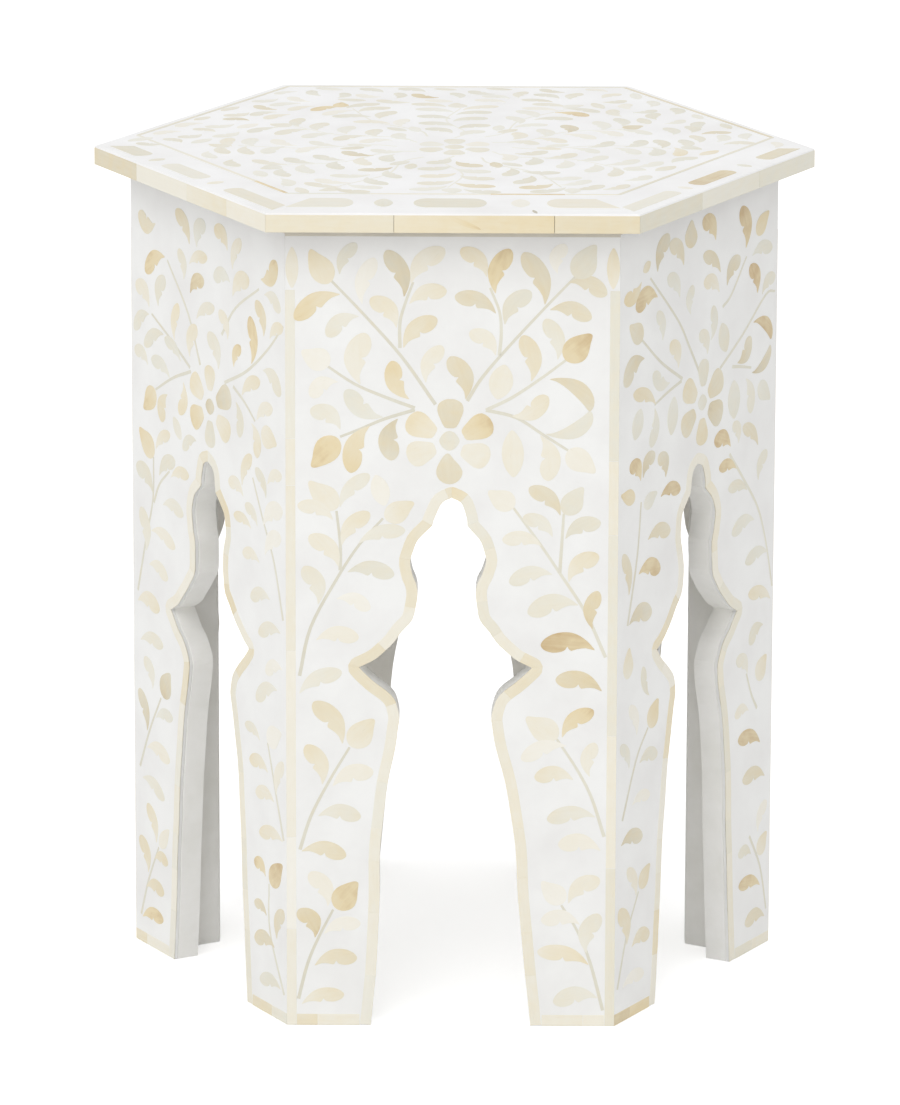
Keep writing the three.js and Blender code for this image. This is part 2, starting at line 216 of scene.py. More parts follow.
def makeClouded(name):
    finish = finishes[name]
    material, tree, shader = newMaterial(name)
    cloud = useGroup(tree, clouds, Cloud_Scale=finish["clouds"], Sand_Scale=finish["sand"])
    stops = list(zip(finish["stopShares"], (finish["dark"], finish["light"])))
    tree.links.new(addRamp(tree, cloud.outputs["Cloud"], stops), shader.inputs["Base Color"])
    addRoughness(tree, shader, cloud.outputs["Sand"], *finish["roughness"])
    if "bump" in finish:
        addBump(tree, shader, cloud.outputs["Sand"], *finish["bump"])
    shader.inputs["Metallic"].default_value = finish.get("metallic", 0.0)
    return material


# Cut bone: the tone attribute holds each tile's warmth, its grey-green share and a number of its own
bone = {
    "warm": [(0.0, (244, 241, 232)), (0.35, (239, 234, 219)), (0.6, (236, 226, 200)),
             (0.85, (230, 213, 173)), (1.0, (203, 176, 130))],
    "cool": [(0.0, (241, 241, 234)), (0.5, (226, 223, 208)), (1.0, (192, 186, 168))],
    "streak": 0.04,        # how far streaks and patches shift the warmth
    "patch": 0.05,
    "greyPatch": 0.3,      # and how far patches shift the grey-green share
    "poreDark": (168, 150, 118),
    "poreShare": 0.12,
    "roughness": (0.34, 0.52),
    "bump": (0.14, 0.1 * mm),
}


def makeBone():
    material, tree, shader = newMaterial("cutBone")
    tone = addNode(tree, "ShaderNodeAttribute", attribute_name="tone")
    parts = tree.nodes.new("ShaderNodeSeparateColor")
    tree.links.new(tone.outputs["Color"], parts.inputs["Color"])
    grain = useGroup(tree, grains)
    warmth = parts.outputs["Red"]
    for source, reach in (("Streak", bone["streak"]), ("Patch", bone["patch"])):
        shift = addNode(tree, "ShaderNodeMapRange", From_Min=0.25, From_Max=0.75, To_Min=-reach,
                        To_Max=reach, clamp=False)
        tree.links.new(grain.outputs[source], shift.inputs["Value"])
        added = addNode(tree, "ShaderNodeMath", operation="ADD", use_clamp=True)
        tree.links.new(warmth, added.inputs[0])
        tree.links.new(shift.outputs["Result"], added.inputs[1])
        warmth = added.outputs["Value"]
    greyer = addNode(tree, "ShaderNodeMapRange", From_Min=0.3, From_Max=0.7, To_Min=1 + bone["greyPatch"],
                     To_Max=1 - bone["greyPatch"])
    tree.links.new(grain.outputs["Patch"], greyer.inputs["Value"])
    cool = addNode(tree, "ShaderNodeMath", operation="MULTIPLY", use_clamp=True)
    tree.links.new(parts.outputs["Green"], cool.inputs[0])
    tree.links.new(greyer.outputs["Result"], cool.inputs[1])
    warm, grey = (addRamp(tree, warmth, bone[key]) for key in ("warm", "cool"))
    base = mixColour(tree, warm, grey, cool.outputs["Value"])
    poreShare = addNode(tree, "ShaderNodeMath", operation="MULTIPLY")
    poreShare.inputs[1].default_value = bone["poreShare"]
    tree.links.new(grain.outputs["Pore"], poreShare.inputs[0])
    pored = mixColour(tree, base, linear(*bone["poreDark"]), poreShare.outputs["Value"])
    tree.links.new(pored, shader.inputs["Base Color"])
    addRoughness(tree, shader, grain.outputs["Streak"], *bone["roughness"])
    addBump(tree, shader, grain.outputs["Streak"], *bone["bump"])
    return material


# Sawn wood of the corner blocks, with its fibre upright
wood = {"dark": (150, 112, 74), "light": (196, 160, 116), "stopShares": (0.32, 0.68),
        "fibre": (320, 320, 28), "roughness": 0.8, "bump": (0.4, 0.3 * mm)}


def makeSawnWood():
    material, tree, shader = newMaterial("sawnWood")
    coords = tree.nodes.new("ShaderNodeTexCoord")
    along = tree.nodes.new("ShaderNodeMapping")
    along.inputs["Scale"].default_value = wood["fibre"]
    tree.links.new(coords.outputs["Object"], along.inputs["Vector"])
    fibre = addNode(tree, "ShaderNodeTexNoise", Scale=1.0, Detail=5.0, Roughness=0.62)
    tree.links.new(along.outputs["Vector"], fibre.inputs["Vector"])
    stops = list(zip(wood["stopShares"], (wood["dark"], wood["light"])))
    tree.links.new(addRamp(tree, fibre.outputs["Fac"], stops), shader.inputs["Base Color"])
    addBump(tree, shader, fibre.outputs["Fac"], *wood["bump"])
    shader.inputs["Roughness"].default_value = wood["roughness"]
    return material


clouded = {name: makeClouded(name) for name in finishes}
cutBone = makeBone()
sawnWood = makeSawnWood()
print("materials made")


# Places on the stool

def sideFrame(index, out):
    # turns across, up and outwards into the stool's own axes
    axes = Matrix(((1, 0, 0, 0), (0, 0, -1, -out), (0, 1, 0, 0), (0, 0, 0, 1)))
    return Matrix.Rotation(index * sideTurn, 4, "Z") @ axes


def topFrame(index=0):
    return Matrix.Translation((0, 0, stool["topHeight"])) @ Matrix.Rotation(index * sideTurn, 4, "Z")


def smoothCurve(points, steps, closed):
    # curve through a few points, in two dimensions
    knots = [Vector(p) for p in points]
    count = len(knots)
    spans = count if closed else count - 1
    curve = []
    for i in range(spans):
        if closed:
            a, b, c, d = (knots[(i + k) % count] for k in (-1, 0, 1, 2))
        else:
            b, c = knots[i], knots[i + 1]
            a = knots[i - 1] if i > 0 else 2 * b - c
            d = knots[i + 2] if i + 2 < count else 2 * c - b
        for step in range(steps):
            t = step / steps
            curve.append(0.5 * (2 * b + (c - a) * t + (2 * a - 5 * b + 4 * c - d) * t ** 2
                                + (3 * b - a - 3 * c + d) * t ** 3))
    if not closed:
        curve.append(knots[-1])
    return curve


sharpestBend = 0.3    # keeps an offset short where a path turns back on itself


def offsets(path):
    # for each point, the step to its right that keeps a strip's width round a corner
    steps = []
    for i in range(len(path)):
        ahead = (path[min(i + 1, len(path) - 1)] - path[min(i, len(path) - 2)]).normalized()
        behind = (path[max(i, 1)] - path[max(i - 1, 0)]).normalized()
        first = Vector((behind.y, -behind.x))
        second = Vector((ahead.y, -ahead.x))
        steps.append((first + second) / max(1 + first.dot(second), sharpestBend))
    return steps


def stripOutline(path, widths):
    # a strip's outline: down its left side, and back up its right side
    steps = offsets(path)
    left = [p - s * w / 2 for p, s, w in zip(path, steps, widths)]
    right = [p + s * w / 2 for p, s, w in zip(path, steps, widths)]
    return left + right[::-1]


# Tiles: flat pieces laid into the resin, each with a small rise, turn, tone and grain of its own
tile = {
    "under": 0.6 * mm, "proud": 0.1 * mm, "ownRise": 0.04 * mm, "softEdge": 0.12 * mm, "ownTurn": 0.04,
    "ownTone": 0.04, "ownGrain": 3, "panelNudge": 0.6 * mm, "topNudge": 0.7 * mm,
}


def raiseOutline(bm, outline, low, high):
    # a straight block over an outline; what the extrusion made is handed back
    bottom = bm.faces.new([bm.verts.new((p.x, p.y, low)) for p in outline])
    raised = bmesh.ops.extrude_face_region(bm, geom=[bottom])["geom"]
    lifted = [g for g in raised if isinstance(g, bmesh.types.BMVert)]
    bmesh.ops.translate(bm, vec=(0, 0, high - low), verts=lifted)
    return raised


def cutTile(name, outline, under=tile["under"], proud=tile["proud"], softEdge=0.0):
    bm = bmesh.new()
    raised = raiseOutline(bm, outline, -under, proud)
    rim = [g for g in raised if isinstance(g, bmesh.types.BMEdge)]
    if softEdge:
        bmesh.ops.bevel(bm, geom=rim, offset=softEdge, offset_type="OFFSET", affect="EDGES", segments=1,
                        profile=0.5, material=-1, clamp_overlap=True)
    bmesh.ops.recalc_face_normals(bm, faces=bm.faces)
    grain = bm.loops.layers.uv.new("grain")
    for face in bm.faces:
        for loop in face.loops:
            loop[grain].uv = loop.vert.co.xy
    mesh = bpy.data.meshes.new(name)
    bm.to_mesh(mesh)
    bm.free()
    return mesh


def openTile(mesh):
    # a cut tile as a bmesh again, for a piece of its own
    bm = bmesh.new()
    bm.from_mesh(mesh)
    bpy.data.meshes.remove(mesh)
    return bm


def startBatch():
    bm = bmesh.new()
    bm.loops.layers.uv.new("grain")
    bm.loops.layers.float_color.new("tone")
    return bm


# Bone tones: warmth at the base, warmth at the tip, grey-green share
boneTones = {
    "pale": (0.06, 0.16, 0.1),
    "blush": (0.26, 0.36, 0.0),
    "cream": (0.34, 0.42, 0.12),
    "sage": (0.3, 0.46, 0.85),
    "creamSage": (0.32, 0.46, 0.5),
    "creamGold": (0.38, 0.62, 0.15),
    "goldCream": (0.68, 0.4, 0.0),
    "gold": (0.6, 0.72, 0.2),
    "goldAmber": (0.66, 0.88, 0.05),
    "amber": (0.78, 0.89, 0.0),
    "amberDeep": (0.85, 0.95, 0.1),
    "amberGold": (0.9, 0.78, 0.25),
    "umberGold": (0.74, 0.66, 0.4),
    "umber": (0.86, 0.64, 0.55),
    "umberPale": (0.52, 0.44, 0.7),
    "blushGold": (0.46, 0.68, 0.0),
    "brown": (0.97, 0.95, 0.15),
    "knot": (1.0, 1.0, 1.0),
    "stem": (0.6, 0.54, 1.0),
    "mist": (0.12, 0.24, 0.7),
}


def spread(**counts):
    # each tone as often as its count, to draw from
    return [tone for tone, count in counts.items() for _ in range(count)]


commonTones = spread(pale=6, blush=2, cream=7, sage=1, creamSage=5, creamGold=4, goldCream=2, gold=3,
                     goldAmber=2, amber=2, umberGold=2, umber=1)


def layTile(batch, mesh, place, toneName, length, turnGrain=0.0):
    firstVert, firstFace = len(batch.verts), len(batch.faces)
    batch.from_mesh(mesh)
    batch.verts.ensure_lookup_table()
    batch.faces.ensure_lookup_table()
    lift = Matrix.Translation((0, 0, rng.uniform(0, tile["ownRise"])))
    bmesh.ops.transform(batch, matrix=place @ lift, verts=batch.verts[firstVert:])
    grain = batch.loops.layers.uv["grain"]
    tone = batch.loops.layers.float_color["tone"]
    start, end, cool = boneTones[toneName]
    change = rng.uniform(-tile["ownTone"], tile["ownTone"])
    shift = Vector([rng.uniform(0, tile["ownGrain"]) for _ in "uv"])
    turn = Matrix.Rotation(turnGrain, 2)
    own = rng.random()
    for face in batch.faces[firstFace:]:
        for loop in face.loops:
            along = min(max(loop[grain].uv.x / length, 0), 1)
            loop[tone] = (start + (end - start) * along + change, cool, own, 1)
            loop[grain].uv = turn @ loop[grain].uv + shift


def finishPiece(name, bm, materials, slotName, *nodes):
    mesh = bpy.data.meshes.new(name)
    bm.to_mesh(mesh)
    bm.free()
    piece = bpy.data.objects.new(name, mesh)
    bpy.context.scene.collection.objects.link(piece)
    for material in materials:
        mesh.materials.append(material)
    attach(piece, "root")
    if nodes:
        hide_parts(*nodes)


# Unit leaf shapes, drawn from base to tip along X with their full side to the left of it.
# Places along are shares of the length, and places across are shares of the width.
leafShares = [
    (0, 0), (0.16, 0.07), (0.32, 0.0), (0.43, -0.1), (0.485, 0.0), (0.51, 0.08), (0.545, -0.08),
    (0.63, -0.19), (0.77, -0.25), (0.91, -0.18), (0.985, -0.04), (1, 0.12), (0.94, 0.36),
    (0.8, 0.6), (0.62, 0.73), (0.45, 0.74), (0.29, 0.62), (0.14, 0.38), (0.04, 0.14),
]
hornShares = [
    (0, 0), (0.12, 0.1), (0.3, 0.12), (0.5, 0.07), (0.7, -0.02), (0.86, -0.12), (0.96, -0.2), (1, -0.12),
    (0.99, 0.16), (0.9, 0.48), (0.74, 0.72), (0.55, 0.8), (0.36, 0.68), (0.18, 0.42), (0.06, 0.18),
]
budShares = [
    (0, 0), (0.06, -0.26), (0.22, -0.45), (0.42, -0.5), (0.62, -0.38), (0.8, -0.18), (0.93, -0.06), (1, 0.04),
    (0.97, 0.16), (0.86, 0.27), (0.68, 0.4), (0.46, 0.5), (0.24, 0.46), (0.07, 0.27),
]
ovalShares = [
    (0, 0), (0.08, -0.2), (0.25, -0.4), (0.5, -0.5), (0.75, -0.4), (0.92, -0.2),
    (1, 0), (0.92, 0.2), (0.75, 0.4), (0.5, 0.5), (0.25, 0.4), (0.08, 0.2),
]
petalShares = [
    (0, 0), (0.03, -0.22), (0.3, -0.38), (0.6, -0.5), (0.85, -0.44), (0.98, -0.2),
    (1, 0), (0.98, 0.2), (0.85, 0.44), (0.6, 0.5), (0.3, 0.38), (0.03, 0.22),
]
unitLength = 24 * mm
unitWidth = 11 * mm
unitSteps = 2


def unitTile(name, shares, mirrored=False):
    curve = smoothCurve(shares, unitSteps, True)
    if mirrored:
        curve = [Vector((p.x, -p.y)) for p in reversed(curve)]
    outline = [Vector((p.x * unitLength, p.y * unitWidth)) for p in curve]
    return cutTile(name, outline)


unitTiles = {
    "leafL": unitTile("unitLeafL", leafShares),
    "leafR": unitTile("unitLeafR", leafShares, mirrored=True),
    "hornL": unitTile("unitHornL", hornShares),
    "hornR": unitTile("unitHornR", hornShares, mirrored=True),
    "bud": unitTile("unitBud", budShares),
    "oval": unitTile("unitOval", ovalShares),
    "petal": unitTile("unitPetal", petalShares),
}


def layLeaf(batch, surface, leaf, toneName, jitter=0.0):
    baseX, baseY, tipX, tipY, width, kind = leaf
    base = Vector((baseX, baseY)) * mm
    reach = Vector((tipX, tipY)) * mm - base
    nudge = Vector((rng.uniform(-1, 1), rng.uniform(-1, 1))) * jitter
    turn = math.atan2(reach.y, reach.x) + rng.uniform(-tile["ownTurn"], tile["ownTurn"]) * (jitter > 0)
    size = Matrix.Diagonal((reach.length / unitLength, width * mm / unitWidth, 1, 1))
    place = surface @ Matrix.Translation((*(base + nudge), 0)) @ Matrix.Rotation(turn, 4, "Z") @ size
    layTile(batch, unitTiles[kind], place, toneName, unitLength)


stemShape = {"base": 1.9 * mm, "taper": 0.6 * mm, "steps": 5}


def layStem(batch, surface, points, share=1.0, tone="stem"):
    # a thin strip that narrows towards its end
    path = smoothCurve([(x * mm, y * mm) for x, y in points], stemShape["steps"], False)
    widths = [(stemShape["base"] - stemShape["taper"] * i / len(path)) * share for i in range(len(path))]
    strip = cutTile("stem", stripOutline(path, widths), proud=tile["proud"] / 2)
    layTile(batch, strip, surface, tone, unitLength, math.pi / 2)
    bpy.data.meshes.remove(strip)


# Inlay of the panels, in millimetres across from a panel's middle and up from the floor:
# base, tip, width, shape and tone
frontLeaves = [
    # around the rosette, upper left
    (-66, 415, -75, 434, 13, "bud", "blushGold"), (-60, 420, -51, 437, 8, "leafL", "umberPale"),
    (-48, 404, -41, 429, 10, "leafL", "pale"), (-26, 408, -36, 433, 11, "leafR", "umber"),
    (-22, 415, -4, 434, 12, "leafL", "cream"), (-23, 404, -3, 411, 10, "leafL", "creamGold"),
    (-60, 409, -84, 395, 11, "leafR", "goldAmber"), (-50, 397, -67, 386, 10, "leafR", "creamSage"),
    (-30, 391, -44, 407, 11, "leafR", "creamGold"), (-26, 380, -8, 396, 11, "leafL", "gold"),
    (-66, 370, -80, 379, 13, "bud", "pale"), (-49, 360, -46, 388, 14, "leafL", "cream"),
    (-23, 352, -32, 373, 11, "leafL", "goldAmber"), (-14, 361, -5, 381, 10, "leafL", "cream"),
    (-61, 361, -76, 353, 10, "leafR", "pale"), (-37, 342, -57, 357, 11, "leafL", "sage"),
    (-60, 335, -76, 346, 11, "leafR", "creamSage"), (-61, 330, -76, 315, 14, "bud", "amber"),
    (-44, 337, -54, 311, 12, "leafR", "goldAmber"), (-29, 341, -32, 318, 12, "leafR", "umber"),
    # around the rosette, upper right
    (18, 419, 4, 434, 10, "leafR", "blushGold"), (23, 410, 31, 434, 11, "leafL", "amber"),
    (49, 404, 37, 432, 12, "leafR", "umberGold"), (56, 421, 60, 437, 9, "leafL", "pale"),
    (65, 419, 77, 436, 14, "bud", "umberPale"), (62, 416, 82, 409, 10, "leafL", "umberGold"),
    (23, 399, 1, 408, 10, "leafR", "umberGold"), (28, 393, 42, 411, 11, "leafL", "umberPale"),
    (52, 401, 74, 396, 10, "leafL", "umberGold"), (23, 376, 9, 389, 10, "leafR", "cream"),
    (42, 362, 37, 387, 11, "leafR", "gold"), (56, 374, 49, 396, 10, "leafR", "creamSage"),
    (60, 374, 75, 387, 14, "bud", "amberDeep"), (24, 352, 28, 371, 13, "oval", "cream"),
    (7, 352, -2, 375, 12, "leafR", "umberGold"), (52, 363, 75, 347, 11, "hornL", "umberGold"),
    (32, 343, 51, 354, 11, "leafR", "creamGold"), (50, 333, 75, 344, 11, "hornR", "umberPale"),
    (32, 335, 33, 309, 12, "oval", "cream"), (47, 332, 51, 307, 12, "leafL", "cream"),
    (62, 324, 76, 311, 13, "bud", "blush"),
    # beside the arch, left
    (-36, 286, -20, 294, 12, "bud", "creamGold"), (-60, 292, -44, 310, 9, "leafL", "creamSage"),
    (-36, 293, -41, 310, 10, "oval", "pale"), (-62, 291, -76, 307, 13, "bud", "cream"),
    (-64, 285, -83, 293, 9, "leafR", "cream"), (-59, 271, -44, 289, 10, "leafL", "creamGold"),
    (-50, 272, -25, 279, 9, "leafL", "creamSage"), (-61, 259, -77, 276, 11, "leafR", "cream"),
    (-56, 256, -31, 254, 10, "leafL", "umberPale"), (-72, 238, -80, 259, 11, "leafR", "creamSage"),
    (-62, 241, -44, 235, 9, "leafL", "pale"), (-73, 218, -50, 219, 10, "leafL", "blush"),
    (-82, 188, -59, 200, 10, "leafL", "creamSage"),
    # beside the arch, right
    (33, 292, 20, 302, 12, "bud", "blush"), (58, 288, 41, 303, 10, "leafR", "umberGold"),
    (60, 289, 71, 303, 12, "bud", "umberPale"), (54, 276, 38, 287, 9, "leafR", "creamSage"),
    (48, 271, 27, 274, 9, "leafR", "cream"), (61, 275, 80, 284, 10, "leafL", "umberPale"),
    (63, 251, 79, 266, 11, "leafL", "creamGold"), (54, 255, 31, 250, 10, "leafR", "creamSage"),
    (68, 238, 41, 233, 12, "leafR", "creamSage"), (76, 225, 79, 246, 9, "leafL", "amberGold"),
    (77, 213, 48, 215, 12, "leafR", "amberDeep"), (81, 190, 56, 196, 11, "leafR", "amberGold"),
    # left leg
    (-55, 159, -41, 173, 14, "bud", "creamGold"), (-59, 160, -75, 183, 12, "leafR", "gold"),
    (-70, 137, -79, 159, 11, "leafR", "creamGold"), (-64, 136, -42, 144, 11, "leafL", "blush"),
    (-72, 119, -49, 118, 10, "leafL", "creamSage"), (-81, 99, -57, 96, 10, "leafL", "gold"),
    (-67, 68, -77, 87, 11, "leafR", "blush"), (-63, 67, -50, 81, 14, "bud", "amberDeep"),
    (-74, 50, -83, 66, 11, "leafR", "amberGold"), (-69, 52, -49, 58, 9, "leafL", "pale"),
    (-74, 34, -51, 38, 10, "leafL", "gold"), (-81, 12, -58, 17, 9, "leafL", "creamGold"),
    # right leg
    (57, 163, 41, 176, 14, "bud", "cream"), (60, 164, 77, 179, 10, "leafL", "goldAmber"),
    (62, 159, 38, 151, 10, "leafR", "pale"), (75, 142, 78, 161, 9, "leafL", "cream"),
    (66, 140, 45, 141, 10, "leafR", "creamGold"), (78, 119, 52, 117, 10, "leafR", "creamSage"),
    (81, 100, 58, 103, 11, "leafR", "blush"), (64, 70, 81, 84, 11, "leafL", "cream"),
    (61, 70, 50, 83, 12, "bud", "pale"), (70, 58, 49, 60, 10, "leafR", "pale"),
    (74, 42, 81, 64, 11, "leafL", "creamSage"), (75, 35, 47, 42, 10, "leafR", "goldCream"),
    (80, 16, 56, 13, 11, "leafR", "creamSage"),
    # rosette
    (-1, 336, -1, 352, 14, "petal", "umberGold"), (6, 332, 21, 340, 14, "petal", "goldAmber"),
    (-9, 333, -24, 341, 14, "petal", "blushGold"), (-9, 325, -24, 320, 14, "petal", "cream"),
    (5, 324, 20, 319, 14, "petal", "cream"), (-1.5, 305, -1.5, 322, 14, "bud", "umberGold"),
    (-7, 329, 4, 329, 11, "oval", "umberPale"),
]
frontStems = [
    [(-9, 349), (-27, 375), (-48, 399), (-65, 417)], [(-28, 380), (-28, 394), (-25, 405), (-21, 416)],
    [(-20, 347), (-36, 353), (-52, 360), (-67, 370)], [(-20, 346), (-36, 341), (-50, 335), (-60, 331)],
    [(8, 351), (16, 364), (31, 382), (50, 403), (66, 420)], [(25, 376), (26, 388), (25, 400), (20, 413)],
    [(18, 346), (32, 353), (48, 364), (61, 374)], [(18, 346), (34, 342), (48, 333), (62, 324)],
    [(-82, 198), (-76, 225), (-62, 252), (-50, 271), (-37, 286)], [(-60, 257), (-60, 272), (-62, 290)],
    [(83, 209), (72, 234), (58, 256), (46, 274), (33, 292)], [(58, 256), (59, 272), (60, 289)],
    [(-82, 100), (-76, 119), (-66, 139), (-55, 158)], [(-83, 15), (-78, 35), (-72, 50), (-64, 66)],
    [(83, 108), (76, 130), (68, 146), (57, 163)], [(83, 9), (76, 36), (69, 54), (60, 69)],
]
leftPanelLeaves = [
    # over the arch, left half
    (-60, 419, -80, 421, 12, "leafL", "gold"), (-20, 415, -36, 431, 11, "leafR", "gold"),
    (-11, 415, -2, 431, 12, "leafL", "sage"), (-49, 402, -72, 389, 11, "leafR", "amber"),
    (-27, 394, -33, 410, 9, "leafR", "creamSage"), (-20, 404, 1, 411, 8, "leafL", "creamGold"),
    (-19, 388, -3, 398, 10, "leafL", "amberGold"), (-68, 370, -84, 381, 12, "leafR", "cream"),
    (-57, 373, -49, 391, 11, "leafL", "umberPale"), (-38, 358, -33, 379, 9, "leafL", "blushGold"),
    (-20, 352, -12, 371, 11, "leafL", "creamGold"), (-12, 375, 9, 385, 8, "leafL", "creamSage"),
    (-68, 366, -86, 354, 9, "leafR", "umberPale"), (-51, 358, -74, 347, 9, "leafR", "umberPale"),
    (-31, 347, -50, 356, 8, "leafR", "sage"), (-44, 335, -66, 341, 9, "leafR", "sage"),
    (-70, 337, -86, 343, 9, "leafR", "creamSage"), (-61, 324, -76, 312, 13, "bud", "goldAmber"),
    (-47, 325, -54, 308, 11, "leafR", "gold"), (-28, 336, -33, 317, 10, "leafL", "blushGold"),
    (-31, 303, -40, 314, 8, "oval", "creamSage"),
    # over the arch, right half
    (24, 420, 9, 430, 11, "leafR", "blushGold"), (30, 411, 40, 429, 9, "leafL", "cream"),
    (62, 412, 80, 425, 12, "leafR", "goldAmber"), (27, 403, 8, 402, 10, "leafR", "sage"),
    (30, 396, 49, 409, 12, "leafL", "creamGold"), (65, 381, 56, 399, 10, "leafR", "gold"),
    (66, 404, 84, 398, 9, "leafL", "creamSage"), (51, 363, 49, 389, 11, "leafR", "amber"),
    (31, 357, 39, 370, 8, "leafL", "goldAmber"), (72, 381, 87, 390, 8, "leafL", "creamGold"),
    (24, 371, 14, 385, 9, "leafR", "cream"), (13, 352, 1, 370, 12, "leafR", "creamSage"),
    (33, 338, 37, 319, 9, "leafL", "umberPale"), (40, 343, 61, 355, 9, "leafL", "creamGold"),
    (64, 362, 84, 352, 11, "leafL", "creamSage"), (57, 333, 75, 343, 9, "leafL", "cream"),
    (62, 328, 79, 323, 13, "bud", "creamGold"), (51, 330, 57, 312, 10, "leafL", "creamGold"),
    # beside the arch, left
    (-13, 306, -29, 298, 8, "leafR", "umberPale"), (-64, 286, -80, 300, 14, "bud", "goldAmber"),
    (-61, 291, -44, 303, 8, "leafL", "creamGold"), (-57, 277, -38, 289, 10, "leafL", "umberPale"),
    (-43, 279, -22, 284, 8, "leafL", "creamGold"), (-65, 265, -85, 277, 12, "leafR", "umberPale"),
    (-53, 261, -29, 260, 9, "leafL", "creamSage"), (-74, 230, -80, 254, 12, "leafR", "creamSage"),
    (-67, 243, -39, 239, 9, "leafL", "blush"), (-70, 223, -48, 219, 9, "leafL", "cream"),
    (-84, 199, -58, 199, 11, "leafL", "creamGold"),
    # beside the arch, right
    (41, 287, 24, 292, 9, "leafR", "cream"), (40, 293, 51, 312, 9, "leafL", "creamGold"),
    (67, 292, 55, 306, 8, "leafR", "umberPale"), (69, 300, 85, 308, 8, "leafL", "cream"),
    (64, 276, 86, 289, 12, "leafL", "pale"), (66, 260, 84, 274, 11, "leafL", "pale"),
    (57, 274, 43, 283, 8, "leafR", "creamSage"), (50, 271, 30, 274, 7, "leafR", "creamGold"),
    (59, 254, 40, 255, 8, "leafR", "cream"), (71, 236, 49, 232, 9, "leafR", "creamSage"),
    (83, 220, 58, 214, 9, "leafR", "creamSage"), (85, 200, 66, 194, 9, "leafR", "pale"),
    (79, 187, 55, 176, 10, "leafR", "creamSage"),
    # left leg
    (-81, 177, -54, 179, 9, "leafL", "creamSage"), (-67, 152, -77, 168, 10, "leafR", "creamSage"),
    (-56, 151, -45, 165, 14, "bud", "umber"), (-63, 136, -43, 140, 8, "leafL", "sage"),
    (-74, 126, -84, 148, 10, "leafR", "umber"), (-74, 116, -47, 114, 10, "leafL", "blush"),
    (-80, 97, -54, 90, 9, "leafL", "creamSage"), (-64, 63, -75, 83, 10, "leafR", "creamGold"),
    (-60, 62, -48, 74, 9, "bud", "cream"), (-74, 43, -84, 62, 11, "leafR", "gold"),
    (-66, 53, -50, 54, 8, "leafL", "gold"), (-76, 34, -55, 35, 9, "leafL", "gold"),
    (-81, 15, -56, 19, 9, "leafL", "amber"),
    # right leg
    (67, 157, 84, 163, 13, "bud", "pale"), (59, 154, 42, 159, 7, "leafR", "creamSage"),
    (68, 138, 47, 140, 9, "leafR", "creamGold"), (78, 128, 86, 148, 9, "leafL", "cream"),
    (75, 123, 54, 123, 9, "leafR", "cream"), (85, 103, 58, 101, 9, "leafR", "creamGold"),
    (70, 76, 85, 89, 13, "bud", "amberDeep"), (65, 78, 52, 84, 9, "leafR", "goldAmber"),
    (78, 46, 86, 64, 10, "leafL", "umberGold"), (66, 56, 52, 60, 7, "leafR", "umberGold"),
    (75, 40, 52, 39, 10, "leafR", "umberGold"), (82, 18, 58, 17, 9, "leafR", "umberPale"),
    # rosette
    (-5, 333, -19, 341, 14, "petal", "blushGold"), (11, 333, 27, 341, 14, "petal", "umber"),
    (-5, 324, -19, 317, 14, "petal", "goldAmber"), (11, 324, 26, 317, 14, "petal", "creamGold"),
    (3, 321, 3, 306, 12, "petal", "umberPale"), (3, 338, 3, 352, 12, "petal", "creamGold"),
    (-2, 329, 8, 329, 9, "oval", "umber"),
]
leftPanelStems = [
    [(-20, 346), (-42, 357), (-65, 367)], [(-19, 344), (-40, 336), (-61, 325)],
    [(-8, 350), (-22, 376), (-46, 401)], [(20, 346), (46, 358), (70, 375), (87, 391)],
    [(30, 346), (43, 340), (55, 332)], [(17, 372), (33, 390), (60, 406)],
    [(-84, 205), (-74, 236), (-65, 262), (-64, 286)], [(-64, 260), (-57, 272), (-45, 282)],
    [(86, 228), (76, 258), (63, 280), (52, 300)], [(-83, 103), (-71, 127), (-57, 149)],
    [(-83, 16), (-74, 38), (-61, 61)], [(86, 104), (76, 132), (68, 155)], [(86, 16), (70, 48), (69, 75)],
]
